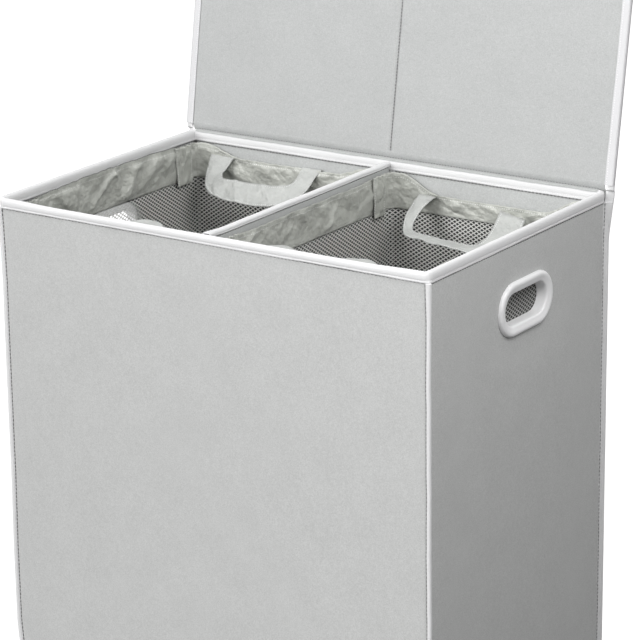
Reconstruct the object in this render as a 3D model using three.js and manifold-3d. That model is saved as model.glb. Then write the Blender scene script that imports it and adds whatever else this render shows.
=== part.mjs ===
// Laundry hamper with two lift-out bags and a hinged lid.
// Millimetres, +Z up. Origin: centre of the underside. +X to the hamper's right, -Y to its front.
import * as THREE from "three";
import Module from "manifold-3d";
import { mergeVertices } from "three/addons/utils/BufferGeometryUtils.js";

const wasm = await Module();
wasm.setup();

// Driving dimensions of the whole
const hamperWidth = 610;
const hamperDepth = 395;
const hamperHeight = 610;

// What every joint between pieces leaves, and how far a cutting tool overruns
const seat = 0.3;
const overrun = 5;

// Sewn wall panels: an outer cover, a stiff board and a lining
const coverThick = 0.8;
const boardThick = 3;
const liningThick = 0.8;

// White tape that binds the rim and the bottom edge
const tapeThick = 1.2;
const tapeDrop = 13;
const tapeEase = 1.1;
const rimInnerRadius = 1.8;

// Tape folded round the upright corner seams
const finHalfWidth = 4.6;
const finShoulder = 2;
const finNose = 4;

// Bottom
const clothThick = 1.2;
const baseBoardThick = 3;

// Divider between the bins
const dividerBoardThick = 3;
const dividerCoverThick = 0.8;
const dividerTapeThick = 1;
const dividerTapeDrop = 6;
const dividerBelowRim = 3;
const flangeHalfWidth = 12.5;
const flangeThick = 0.8;

// Moulded grip in each side panel, in two rings that snap together
const gripHoleLength = 92;
const gripHoleHeight = 38;
const gripBelowRim = 89.5;
const gripTowardsBack = 8;
const gripBarrelThick = 1.4;
const gripFlange = 13.3;
const gripProud = 5;
const gripBackFlange = 10;
const gripBackThick = 2.2;

// Lid
const lidOverhang = 9;
const lidCoverThick = 0.6;
const lidBoardThick = 2.4;
const lidLiningThick = 0.6;
const lidTapeThick = 0.8;
const lidTapeWidth = 12;
const lidTapeEase = 0.7;
const lidInnerRadius = 2;
const lidSeamHalfWidth = 4;
const lidSeamDepth = 1.2;
const lidHingeEdge = 1;
const lidBehindRim = 1.5;
const lidLeanDegrees = 9.4;

// Cloth strip that the lid turns on
const hingeStripThick = 0.7;
const hingeStripLeg = 26;

// Lift-out bags
const bandThick = 1.2;
const bandBelowRim = 14;
const bandBottomBelowRim = 60;
const bandFrontDroop = 14;
const bandSideDroop = 6;
const netThick = 1.2;
const netTaper = 8;
const bagInnerRadius = 14.8;
const bagBaseThick = 1.5;
const bagFrontClearance = 1.4;
const bagDividerClearance = 1.2;

// Stitched tabs in the bags' corners
const tabWidth = 35;
const tabThick = 0.8;
const tabInset = 2;

// Hook and loop strips between bags and side panels
const hookThick = 1.2;
const loopThick = 1.5;
const stripLength = 120;
const stripHeight = 25;
const stripBelowRim = 23;

// Strap handles
const strapWidth = 25;
const strapThick = 1.4;
const strapSpan = 142;
const strapCornerRadius = 22;
const strapInnerRadius = 6;
const strapShift = 28;
const strapBelowBand = 2;

const strapFrontReach = 60;
const leftStrapBackReach = 57;
const rightStrapBackReach = 88;

// How far each strap reaches from its seam, and leans from straight down towards its bag's middle
const strapReaches = {
  left: { front: strapFrontReach, back: leftStrapBackReach },
  right: { front: strapFrontReach, back: rightStrapBackReach },
};
const leftFrontLeanDegrees = 101;
const leftBackLeanDegrees = 54;
const rightFrontLeanDegrees = 98;
const rightBackLeanDegrees = 60;
const strapLeanDegrees = {
  left: { front: leftFrontLeanDegrees, back: leftBackLeanDegrees },
  right: { front: rightFrontLeanDegrees, back: rightBackLeanDegrees },
};

// Numbers of steps in curves
const cornerSteps = 6;
const sideSteps = 10;
const roundSteps = 12;

// Share of a side's length over which a band's top edge sinks from a corner
const droopRampShare = 0.22;

// How wide the dip of the lid's seam is at its deepest and at the lining's face
const seamTopShare = 0.25;
const seamBottomShare = 0.5;

// The grip's dished lip, from the hole outwards: shares of the flange and of how far it stands proud
const lipShares = [
  [0, 0.3], [0.1, 0.62], [0.24, 0.78], [0.42, 0.94], [0.62, 1], [0.82, 0.9], [0.95, 0.6], [1, 0.25],
];

// Depths of the layers, from the outermost outline inwards
const coverOffset = tapeThick + seat;
const boardOffset = coverOffset + coverThick + seat;
const liningOffset = boardOffset + boardThick + seat;
const liningInside = liningOffset + liningThick;
const rimInside = liningInside + seat + tapeThick;
const cornerRadius = rimInside + rimInnerRadius;

// Heights
const wallBottom = tapeThick + seat;
const wallTop = hamperHeight - tapeThick - seat;
const baseBoardBottom = clothThick + seat;
const baseBoardTop = baseBoardBottom + baseBoardThick;

const material = (color, roughness, metalness = 0) =>
  new THREE.MeshStandardMaterial({ color, roughness, metalness });
const greyCloth = material(0xc2c4c4, 0.95);
const liningCloth = material(0xb8bab9, 0.95);
const pressboard = material(0x8f8b82, 0.9);
const whiteTape = material(0xf2f2f2, 0.8);
const satin = material(0xa9aca5, 0.5);
const net = material(0x5a5c58, 0.8);
const whitePlastic = material(0xf4f4f4, 0.35);
const hookTape = material(0xdcdcda, 0.95);

const hamper = new THREE.Group();

function add(parent, name, geometry, look) {
  const piece = new THREE.Mesh(geometry, look);
  piece.name = name;
  parent.add(piece);
  return piece;
}

// A box between two corners
function block(low, high) {
  const size = high.map((value, axis) => value - low[axis]);
  const geometry = new THREE.BoxGeometry(...size);
  geometry.translate(...low.map((value, axis) => value + size[axis] / 2));
  return geometry;
}

function slab(shape, low, high) {
  const options = { depth: high - low, bevelEnabled: false, curveSegments: roundSteps };
  const geometry = new THREE.ExtrudeGeometry(shape, options);
  geometry.translate(0, 0, low);
  return geometry;
}

// A profile drawn in Y and Z, drawn out along X over a width centred on zero
function acrossX(shape, width) {
  const geometry = slab(shape, -width / 2, width / 2);
  geometry.applyMatrix4(new THREE.Matrix4().makeBasis(
    new THREE.Vector3(0, 1, 0), new THREE.Vector3(0, 0, 1), new THREE.Vector3(1, 0, 0)));
  return geometry;
}

// A profile drawn in X and Z, drawn out along Y
function alongY(shape, low, high) {
  const geometry = slab(shape, -high, -low);
  geometry.rotateX(Math.PI / 2);
  return geometry;
}

function solidOf(geometry) {
  const bare = new THREE.BufferGeometry();
  bare.setAttribute("position", geometry.getAttribute("position"));
  if (geometry.index) bare.setIndex(geometry.index);
  const merged = mergeVertices(bare);
  return new wasm.Manifold(new wasm.Mesh({
    numProp: 3,
    vertProperties: new Float32Array(merged.getAttribute("position").array),
    triVerts: new Uint32Array(merged.index.array),
  }));
}

function geometryOf(solid) {
  const data = solid.getMesh();
  const geometry = new THREE.BufferGeometry();
  geometry.setAttribute("position", new THREE.BufferAttribute(data.vertProperties, data.numProp));
  geometry.setIndex(new THREE.BufferAttribute(data.triVerts, 1));
  geometry.computeVertexNormals();
  return geometry;
}

const cut = (geometry, tool) => geometryOf(solidOf(geometry).subtract(solidOf(tool)));
const overlapOf = (a, b) => geometryOf(solidOf(a).intersect(solidOf(b)));

const polygon = (points) => new THREE.Shape(points.map((p) => new THREE.Vector2(...p)));

// A path round a rectangle with rounded corners: points, each with the direction that faces outwards
function roundedLoop(halfX, halfY, radius, steps) {
  const path = [];
  for (let corner = 0; corner < 4; corner += 1) {
    const signX = corner === 0 || corner === 3 ? 1 : -1;
    const signY = corner < 2 ? 1 : -1;
    for (let step = 0; step <= cornerSteps; step += 1) {
      const angle = (corner + step / cornerSteps) * Math.PI / 2;
      const out = new THREE.Vector2(Math.cos(angle), Math.sin(angle));
      const centre = new THREE.Vector2(signX * (halfX - radius), signY * (halfY - radius));
      path.push({ at: centre.addScaledVector(out, radius), out });
    }
    const from = path[path.length - 1];
    const angle = (corner + 1) * Math.PI / 2;
    const way = new THREE.Vector2(-Math.sin(angle), Math.cos(angle));
    const length = 2 * (corner % 2 === 0 ? halfX - radius : halfY - radius);
    for (let step = 1; step < steps; step += 1) {
      const at = from.at.clone().addScaledVector(way, length * step / steps);
      path.push({ at, out: from.out.clone() });
    }
  }
  return path;
}

// Sweeps a closed profile of [outward, up] points along a path in the XY plane
function sweep(path, profileAt, closed) {
  const places = [];
  const faces = [];
  let sides = 0;
  path.forEach((stop, index) => {
    const profile = profileAt(stop, index);
    sides = profile.length;
    for (const [outward, up] of profile) {
      places.push(stop.at.x + stop.out.x * outward, stop.at.y + stop.out.y * outward, up);
    }
  });
  const rings = closed ? path.length : path.length - 1;
  for (let ring = 0; ring < rings; ring += 1) {
    const next = (ring + 1) % path.length;
    for (let side = 0; side < sides; side += 1) {
      const other = (side + 1) % sides;
      const [a, b] = [ring * sides + side, ring * sides + other];
      const [c, d] = [next * sides + other, next * sides + side];
      faces.push(a, b, c, a, c, d);
    }
  }
  if (!closed) {
    const flat = profileAt(path[0], 0).map((p) => new THREE.Vector2(...p));
    const last = (path.length - 1) * sides;
    const forward = THREE.ShapeUtils.area(flat) > 0;
    for (const [a, b, c] of THREE.ShapeUtils.triangulateShape(flat, [])) {
      const start = forward ? [a, c, b] : [a, b, c];
      faces.push(...start, last + start[0], last + start[2], last + start[1]);
    }
  }
  const geometry = new THREE.BufferGeometry();
  geometry.setAttribute("position", new THREE.Float32BufferAttribute(places, 3));
  geometry.setIndex(faces);
  return facingOut(geometry);
}

// Turns every face over if they face inwards
function facingOut(geometry) {
  const points = geometry.getAttribute("position");
  const faces = geometry.index.array;
  const corner = (index) => new THREE.Vector3().fromBufferAttribute(points, faces[index]);
  let volume = 0;
  for (let face = 0; face < faces.length; face += 3) {
    volume += corner(face).dot(corner(face + 1).cross(corner(face + 2)));
  }
  if (volume < 0) {
    for (let face = 0; face < faces.length; face += 3) {
      [faces[face + 1], faces[face + 2]] = [faces[face + 2], faces[face + 1]];
    }
  }
  geometry.computeVertexNormals();
  return geometry;
}

// A rounded rectangle, for plates
function roundedPlate(halfX, halfY, radius) {
  const shape = new THREE.Shape();
  shape.absarc(halfX - radius, halfY - radius, radius, 0, Math.PI / 2);
  shape.absarc(radius - halfX, halfY - radius, radius, Math.PI / 2, Math.PI);
  shape.absarc(radius - halfX, radius - halfY, radius, Math.PI, Math.PI * 3 / 2);
  shape.absarc(halfX - radius, radius - halfY, radius, Math.PI * 3 / 2, Math.PI * 2);
  return shape;
}

// Walls. Each is drawn facing +Y, then turned to its side.
const walls = [
  { name: "front", turn: Math.PI, length: hamperWidth, outFace: hamperDepth / 2 },
  { name: "right", turn: -Math.PI / 2, length: hamperDepth, outFace: hamperWidth / 2, grip: -1 },
  { name: "back", turn: 0, length: hamperWidth, outFace: hamperDepth / 2 },
  { name: "left", turn: Math.PI / 2, length: hamperDepth, outFace: hamperWidth / 2, grip: 1 },
];

// A cloth layer that turns round both corners to the seam, where the next wall's layer starts
function clothLayer(wall, offset, thick) {
  const shape = new THREE.Shape();
  const centreX = wall.length / 2 - cornerRadius;
  const centreY = wall.outFace - cornerRadius;
  const outer = cornerRadius - offset;
  const inner = outer - thick;
  const seam = Math.PI / 4;
  const outerGap = seat / 2 / outer;
  const innerGap = seat / 2 / inner;
  const upright = Math.PI / 2;
  shape.absarc(-centreX, centreY, outer, upright + seam - outerGap, upright, true);
  shape.absarc(centreX, centreY, outer, upright, upright - seam + outerGap, true);
  shape.absarc(centreX, centreY, inner, upright - seam + innerGap, upright, false);
  shape.absarc(-centreX, centreY, inner, upright, upright + seam - innerGap, false);
  return slab(shape, wallBottom, wallTop);
}

function boardLayer(wall) {
  const halfLength = wall.length / 2 - cornerRadius;
  const outFace = wall.outFace - boardOffset;
  return block([-halfLength, outFace - boardThick, wallBottom], [halfLength, outFace, wallTop]);
}

// The grip's hole is a long oval with half-round ends
const gripRadius = gripHoleHeight / 2;
const gripStraight = gripHoleLength - gripHoleHeight;
const gripHeight = hamperHeight - gripBelowRim;
const panelHoleGrowth = gripBarrelThick + seat;

function gripPath() {
  const path = [];
  for (const end of [1, -1]) {
    for (let step = 0; step <= roundSteps; step += 1) {
      const angle = (step / roundSteps - 1 / 2) * Math.PI + (end < 0 ? Math.PI : 0);
      const out = new THREE.Vector2(Math.cos(angle), Math.sin(angle));
      const at = new THREE.Vector2(end * gripStraight / 2, 0).addScaledVector(out, gripRadius);
      path.push({ at, out });
    }
  }
  return path;
}

// Turns a grip drawn lying on the XY plane to a wall that faces +Y, at its height there
function setInWall(geometry, wall) {
  geometry.rotateX(-Math.PI / 2);
  geometry.translate(wall.grip * gripTowardsBack, wall.outFace - coverOffset, gripHeight);
  return geometry;
}

function panelHoleTool(wall) {
  const radius = gripRadius + panelHoleGrowth;
  const shape = new THREE.Shape();
  shape.absarc(gripStraight / 2, 0, radius, -Math.PI / 2, Math.PI / 2);
  shape.absarc(-gripStraight / 2, 0, radius, Math.PI / 2, Math.PI * 3 / 2);
  return setInWall(slab(shape, -liningInside - overrun, overrun), wall);
}

for (const wall of walls) {
  const side = new THREE.Group();
  side.rotation.z = wall.turn;
  hamper.add(side);
  const open = (geometry) => (wall.grip ? cut(geometry, panelHoleTool(wall)) : geometry);
  const cover = clothLayer(wall, coverOffset, coverThick);
  const lining = clothLayer(wall, liningOffset, liningThick);
  add(side, `${wall.name}_cover`, open(cover), greyCloth);
  add(side, `${wall.name}_board`, open(boardLayer(wall)), pressboard);
  add(side, `${wall.name}_lining`, open(lining), liningCloth);

  if (wall.grip) {
    // Outer ring: a rounded flange with a dished lip and a barrel through the panel
    const barrelEnd = liningInside - coverOffset + seat + gripBackThick;
    const lip = [[0, -barrelEnd],
      ...lipShares.map(([out, up]) => [gripFlange * out, gripProud * up]),
      [gripFlange, seat], [gripBarrelThick, seat], [gripBarrelThick, -barrelEnd]];
    const outerRing = sweep(gripPath(), () => lip, true);
    add(side, `${wall.name}_grip_ring`, setInWall(outerRing, wall), whitePlastic);
    // Inner ring: snaps over the barrel on the lining side
    const backFace = -(liningInside - coverOffset + seat);
    const backOut = panelHoleGrowth + gripBackFlange;
    const backEase = gripBackThick / 2;
    const back = [[panelHoleGrowth, backFace], [panelHoleGrowth, backFace - gripBackThick],
      [backOut - backEase, backFace - gripBackThick], [backOut, backFace - backEase],
      [backOut, backFace]];
    const innerRing = sweep(gripPath(), () => back, true);
    add(side, `${wall.name}_grip_back_ring`, setInWall(innerRing, wall), whitePlastic);
  }
}

// Rim tape: a channel over the top of all four walls
const rimLoop = () => roundedLoop(
  hamperWidth / 2 - rimInside, hamperDepth / 2 - rimInside, rimInnerRadius, 1);
const rimFoot = hamperHeight - tapeDrop;
const rimCeiling = hamperHeight - tapeThick;
const rimProfile = [[0, rimFoot], [0, hamperHeight - tapeEase], [tapeEase, hamperHeight],
  [rimInside - tapeEase, hamperHeight], [rimInside, hamperHeight - tapeEase], [rimInside, rimFoot],
  [rimInside - tapeThick, rimFoot], [rimInside - tapeThick, rimCeiling],
  [tapeThick, rimCeiling], [tapeThick, rimFoot]];
add(hamper, "rim_binding", sweep(rimLoop(), () => rimProfile, true), whiteTape);

// Bottom tape: a corner channel round the bottom edge
const footProfile = [[0, 0], [rimInside - tapeEase, 0], [rimInside, tapeEase], [rimInside, tapeDrop],
  [rimInside - tapeThick, tapeDrop], [rimInside - tapeThick, tapeThick], [0, tapeThick]];
add(hamper, "base_binding", sweep(rimLoop(), () => footProfile, true), whiteTape);

// Corner tapes: each stands out from its seam as a round-nosed fin
const corners = [
  { name: "back_right", x: 1, y: 1, turn: -Math.PI / 4 },
  { name: "back_left", x: -1, y: 1, turn: Math.PI / 4 },
  { name: "front_left", x: -1, y: -1, turn: Math.PI * 3 / 4 },
  { name: "front_right", x: 1, y: -1, turn: Math.PI * 5 / 4 },
];
const finSeat = cornerRadius - coverOffset + seat;
for (const corner of corners) {
  const spread = Math.asin(finHalfWidth / finSeat);
  const shape = new THREE.Shape();
  shape.absarc(0, 0, finSeat, Math.PI / 2 - spread, Math.PI / 2 + spread, false);
  shape.absellipse(0, finSeat + finShoulder, finHalfWidth, finNose, Math.PI, 0, true);
  const fin = slab(shape, tapeDrop + seat, rimFoot - seat);
  const piece = add(hamper, `${corner.name}_corner_binding`, fin, whiteTape);
  piece.position.set(
    corner.x * (hamperWidth / 2 - cornerRadius), corner.y * (hamperDepth / 2 - cornerRadius), 0);
  piece.rotation.z = corner.turn;
}

// Bottom: a cloth panel inside the tape, with a loose board on it
const clothHalfX = hamperWidth / 2 - rimInside - seat;
const clothHalfY = hamperDepth / 2 - rimInside - seat;
const clothRadius = rimInnerRadius - seat;
add(hamper, "base_cloth", slab(roundedPlate(clothHalfX, clothHalfY, clothRadius), 0, clothThick),
  greyCloth);
add(hamper, "base_board", slab(roundedPlate(clothHalfX, clothHalfY, clothRadius),
  baseBoardBottom, baseBoardTop), pressboard);

// Divider: a board in a folded cover, bound along its top
const dividerEnd = hamperDepth / 2 - rimInside - seat;
const dividerBottom = baseBoardTop + seat;
const dividerTop = hamperHeight - dividerBelowRim;
const dividerCoverTop = dividerTop - dividerTapeThick - seat;
const dividerBoardTop = dividerCoverTop - dividerCoverThick - seat;
const dividerBoardHalf = dividerBoardThick / 2;
const dividerCoverHalf = dividerBoardHalf + seat + dividerCoverThick;
const dividerTapeHalf = dividerCoverHalf + seat + dividerTapeThick;

// An upside-down channel, in X and Z
const channel = (half, thick, top, foot) => polygon([
  [-half, foot], [-half, top - thick], [thick - half, top], [half - thick, top],
  [half, top - thick], [half, foot], [half - thick, foot], [half - thick, top - thick],
  [thick - half, top - thick], [thick - half, foot]]);
add(hamper, "divider_board", block([-dividerBoardHalf, -dividerEnd, dividerBottom],
  [dividerBoardHalf, dividerEnd, dividerBoardTop]), pressboard);
add(hamper, "divider_cover", alongY(
  channel(dividerCoverHalf, dividerCoverThick, dividerCoverTop, dividerBottom),
  -dividerEnd, dividerEnd), liningCloth);
add(hamper, "divider_binding", alongY(
  channel(dividerTapeHalf, dividerTapeThick, dividerTop, dividerTop - dividerTapeDrop),
  -dividerEnd, dividerEnd), whiteTape);

// Cloth flanges that join the divider to the front and back linings
for (const [name, side] of [["front", -1], ["back", 1]]) {
  const face = hamperDepth / 2 - liningInside - seat;
  const faces = [side * face, side * (face - flangeThick)];
  add(hamper, `divider_${name}_flange`, block(
    [-flangeHalfWidth, Math.min(...faces), baseBoardTop + seat],
    [flangeHalfWidth, Math.max(...faces), rimFoot - seat]), liningCloth);
}

// Lid, drawn closed with the hinge line at the origin and turned open about it
const lidSkinDepth = lidCoverThick + seat + lidBoardThick + seat + lidLiningThick;
const lidUnderside = lidSkinDepth + seat + lidTapeThick;
const hingeY = hamperDepth / 2 + lidBehindRim;
const hingeZ = hamperHeight + seat + lidUnderside;
const lidHalfWidth = hamperWidth / 2 + lidOverhang;
const lidFront = -(hingeY + hamperDepth / 2 + lidOverhang);
const lidTapeInside = lidTapeThick + seat;
const lid = new THREE.Group();
lid.position.set(0, hingeY, hingeZ);
lid.rotation.x = -Math.PI / 2 - THREE.MathUtils.degToRad(lidLeanDegrees);
hamper.add(lid);

// A plate with two round corners at the front, set in from the lid's outline
function lidPlate(inset, low, high) {
  const radius = lidInnerRadius + lidTapeWidth - inset;
  const halfX = lidHalfWidth - inset;
  const front = lidFront + inset;
  const shape = new THREE.Shape();
  shape.moveTo(halfX, -lidHingeEdge);
  shape.lineTo(-halfX, -lidHingeEdge);
  shape.absarc(radius - halfX, front + radius, radius, Math.PI, Math.PI * 3 / 2);
  shape.absarc(halfX - radius, front + radius, radius, Math.PI * 3 / 2, Math.PI * 2);
  return slab(shape, low, high);
}
const lidBoardHigh = -(lidCoverThick + seat);
const lidBoardLow = lidBoardHigh - lidBoardThick;
const lidLiningHigh = lidBoardLow - seat;
const lidLiningLow = lidLiningHigh - lidLiningThick;
add(lid, "lid_cover", lidPlate(lidTapeInside, -lidCoverThick, 0), greyCloth);

const lidBoardInset = lidTapeInside + lidInnerRadius;
const lidBoards = lidPlate(lidBoardInset, lidBoardLow, lidBoardHigh);
for (const [name, side] of [["left", -1], ["right", 1]]) {
  const edges = [side * lidSeamHalfWidth, side * (lidHalfWidth + overrun)];
  const half = block([Math.min(...edges), lidFront - overrun, lidBoardLow - overrun],
    [Math.max(...edges), overrun, lidBoardHigh + overrun]);
  add(lid, `lid_${name}_board`, overlapOf(lidBoards, half), pressboard);
}

// The lining dips between the boards, where it is stitched through to the cover
const seamTop = lidSeamHalfWidth * seamTopShare;
const seamBottom = lidSeamHalfWidth * seamBottomShare;
const liningSheet = alongY(polygon([
  [-lidHalfWidth, lidLiningLow], [-seamBottom, lidLiningLow], [-seamTop, lidLiningLow + lidSeamDepth],
  [seamTop, lidLiningLow + lidSeamDepth], [seamBottom, lidLiningLow], [lidHalfWidth, lidLiningLow],
  [lidHalfWidth, lidLiningHigh], [seamBottom + lidLiningThick, lidLiningHigh],
  [seamTop + lidLiningThick, lidLiningHigh + lidSeamDepth],
  [-seamTop - lidLiningThick, lidLiningHigh + lidSeamDepth],
  [-seamBottom - lidLiningThick, lidLiningHigh], [-lidHalfWidth, lidLiningHigh]]),
lidFront, 0);
add(lid, "lid_lining", overlapOf(
  liningSheet, lidPlate(lidTapeInside, lidLiningLow - overrun, lidLiningHigh + overrun)), liningCloth);

// Tape round the lid's three free sides
function lidTapePath() {
  const halfX = lidHalfWidth - lidTapeWidth - lidInnerRadius;
  const front = lidFront + lidTapeWidth + lidInnerRadius;
  const right = new THREE.Vector2(1, 0);
  const left = new THREE.Vector2(-1, 0);
  const edge = halfX + lidInnerRadius;
  const path = [{ at: new THREE.Vector2(-edge, -lidHingeEdge), out: left }];
  for (const side of [-1, 1]) {
    for (let step = 0; step <= cornerSteps; step += 1) {
      const turned = step / cornerSteps * Math.PI / 2;
      const angle = side < 0 ? Math.PI + turned : Math.PI * 3 / 2 + turned;
      const out = new THREE.Vector2(Math.cos(angle), Math.sin(angle));
      const at = new THREE.Vector2(side * halfX, front).addScaledVector(out, lidInnerRadius);
      path.push({ at, out });
    }
  }
  path.push({ at: new THREE.Vector2(edge, -lidHingeEdge), out: right });
  return path;
}
const lidTapeHigh = seat + lidTapeThick;
const lidTapeLow = -lidUnderside;
const lidTapeWeb = lidTapeWidth - lidTapeThick;
const lidTapeProfile = [[0, lidTapeHigh], [lidTapeWidth - lidTapeEase, lidTapeHigh],
  [lidTapeWidth, lidTapeHigh - lidTapeEase], [lidTapeWidth, lidTapeLow + lidTapeEase],
  [lidTapeWidth - lidTapeEase, lidTapeLow], [0, lidTapeLow], [0, lidTapeLow + lidTapeThick],
  [lidTapeWeb, lidTapeLow + lidTapeThick], [lidTapeWeb, seat], [0, seat]];
add(lid, "lid_binding", sweep(lidTapePath(), () => lidTapeProfile, false), whiteTape);

// Cloth hinge strip: sewn down behind the rim, then up the back of the lid
function ribbon(points, thick) {
  const middle = points.map((p) => new THREE.Vector2(...p));
  const near = [];
  const far = [];
  middle.forEach((point, index) => {
    const before = middle[Math.max(index - 1, 0)];
    const after = middle[Math.min(index + 1, middle.length - 1)];
    const way = after.clone().sub(before).normalize();
    const aside = new THREE.Vector2(-way.y, way.x).multiplyScalar(thick / 2);
    near.push(point.clone().add(aside));
    far.unshift(point.clone().sub(aside));
  });
  return new THREE.Shape([...near, ...far]);
}
const lean = THREE.MathUtils.degToRad(lidLeanDegrees);
const stripAway = seat + hingeStripThick / 2;
const upLid = (distance) => [
  hingeY + Math.sin(lean) * distance + Math.cos(lean) * stripAway,
  hingeZ + Math.cos(lean) * distance - Math.sin(lean) * stripAway];
const behindRim = hamperDepth / 2 + stripAway;
const hingeStrip = ribbon([[behindRim, hamperHeight - hingeStripLeg],
  [behindRim, hamperHeight - tapeEase], upLid(lidHingeEdge), upLid(hingeStripLeg)], hingeStripThick);
const hingeStripWidth = 2 * (hamperWidth / 2 - cornerRadius);
add(hamper, "lid_hinge_strip", acrossX(hingeStrip, hingeStripWidth), greyCloth);

// Bags
const hookFace = liningInside + seat;
const loopFace = hookFace + hookThick + seat;
const bagSideOffset = loopFace + loopThick + seat;
const bagOuterX = hamperWidth / 2 - bagSideOffset;
const bagInnerX = dividerTapeHalf + bagDividerClearance;
const bagHalfX = (bagOuterX - bagInnerX) / 2;
const bagMiddleX = (bagOuterX + bagInnerX) / 2;
const bagHalfY = hamperDepth / 2 - rimInside - bagFrontClearance;
const bandTop = hamperHeight - bandBelowRim;
const bandBottom = hamperHeight - bandBottomBelowRim;
const bagFloor = baseBoardTop + seat;
const netBottom = bagFloor + bagBaseThick + seat;
const stripTop = hamperHeight - stripBelowRim;

// How far a band's top edge hangs down at a point of its path
function droopAt(stop) {
  const onFront = Math.abs(stop.out.y) > Math.abs(stop.out.x);
  const half = onFront ? bagHalfX : bagHalfY;
  const along = Math.abs(onFront ? stop.at.x : stop.at.y);
  const fromCorner = Math.max(half - bagInnerRadius - along, 0) / (2 * half);
  const ramp = THREE.MathUtils.smoothstep(fromCorner, 0, droopRampShare);
  return ramp * (onFront ? bandFrontDroop : bandSideDroop);
}

for (const [name, side] of [["left", -1], ["right", 1]]) {
  const bag = new THREE.Group();
  bag.position.set(side * bagMiddleX, 0, 0);
  hamper.add(bag);

  const bandLoop = roundedLoop(bagHalfX - bandThick, bagHalfY - bandThick, bagInnerRadius, sideSteps);
  const bandProfile = (stop) => {
    const top = bandTop - droopAt(stop);
    return [[0, bandBottom], [bandThick, bandBottom], [bandThick, top], [0, top]];
  };
  add(bag, `${name}_bag_band`, sweep(bandLoop, bandProfile, true), satin);

  const netLoop = roundedLoop(bagHalfX - netThick, bagHalfY - netThick, bagInnerRadius, 1);
  const netTop = bandBottom - seat;
  const netProfile = [[-netTaper, netBottom], [netThick - netTaper, netBottom], [netThick, netTop],
    [0, netTop]];
  add(bag, `${name}_bag_net`, sweep(netLoop, () => netProfile, true), net);
  add(bag, `${name}_bag_base`, slab(
    roundedPlate(bagHalfX - netTaper, bagHalfY - netTaper, bagInnerRadius + netThick - netTaper),
    bagFloor, bagFloor + bagBaseThick), satin);

  // Stitched tabs: two on each side face, next to the corners
  const tabEnd = bagHalfY - bandThick - bagInnerRadius;
  const tabFace = bagHalfX - bandThick - seat;
  const tabTop = bandTop - bandSideDroop - tabInset;
  for (const [endName, end] of [["front", -1], ["back", 1]]) {
    for (const [faceName, face] of [["left", -1], ["right", 1]]) {
      const across = [face * tabFace, face * (tabFace - tabThick)];
      const along = [end * tabEnd, end * (tabEnd - tabWidth)];
      const tab = block([Math.min(...across), Math.min(...along), bandBottom + tabInset],
        [Math.max(...across), Math.max(...along), tabTop]);
      add(bag, `${name}_bag_${endName}_${faceName}_tab`, tab, satin);
    }
  }

  // Loop strip on the bag, hook strip on the panel
  const loopEdges = [side * bagHalfX + side * seat, side * (bagHalfX + seat + loopThick)];
  add(bag, `${name}_bag_loop_strip`, block(
    [Math.min(...loopEdges), -stripLength / 2, stripTop - stripHeight],
    [Math.max(...loopEdges), stripLength / 2, stripTop]), hookTape);
  const hookBack = hamperWidth / 2 - hookFace;
  const hookEdges = [side * hookBack, side * (hookBack - hookThick)];
  add(hamper, `${name}_hook_strip`, block(
    [Math.min(...hookEdges), -stripLength / 2, stripTop - stripHeight],
    [Math.max(...hookEdges), stripLength / 2, stripTop]), hookTape);

  // Strap handles: flat loops that hang inside the bag from the band's top edge
  for (const [end, way] of [["front", -1], ["back", 1]]) {
    const outer = strapSpan / 2 + strapWidth / 2;
    const inner = strapSpan / 2 - strapWidth / 2;
    const reach = strapReaches[name][end];
    const innerReach = reach - strapWidth;
    const shape = new THREE.Shape();
    shape.moveTo(outer, 0);
    shape.lineTo(inner, 0);
    shape.absarc(inner - strapInnerRadius, strapInnerRadius - innerReach, strapInnerRadius,
      0, -Math.PI / 2, true);
    shape.absarc(strapInnerRadius - inner, strapInnerRadius - innerReach, strapInnerRadius,
      -Math.PI / 2, -Math.PI, true);
    shape.lineTo(-inner, 0);
    shape.lineTo(-outer, 0);
    shape.absarc(strapCornerRadius - outer, strapCornerRadius - reach, strapCornerRadius,
      Math.PI, Math.PI * 3 / 2, false);
    shape.absarc(outer - strapCornerRadius, strapCornerRadius - reach, strapCornerRadius,
      Math.PI * 3 / 2, Math.PI * 2, false);
    const strap = alongY(shape, -strapThick / 2, strapThick / 2);
    const piece = add(bag, `${name}_bag_${end}_handle`, strap, satin);
    piece.position.set(-strapShift, way * (bagHalfY - bandThick - seat - strapThick / 2),
      bandTop - bandFrontDroop - strapBelowBand);
    piece.rotation.x = -way * THREE.MathUtils.degToRad(strapLeanDegrees[name][end]);
  }
}

export default hamper;
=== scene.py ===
"""Visual model of the two-bin laundry hamper: cloth, tape, satin and net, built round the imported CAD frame.

Lengths are millimetres until a mesh is written, which is in metres.
"""
import math

import bpy
import numpy as np
from mathutils import Matrix, Vector


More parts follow.
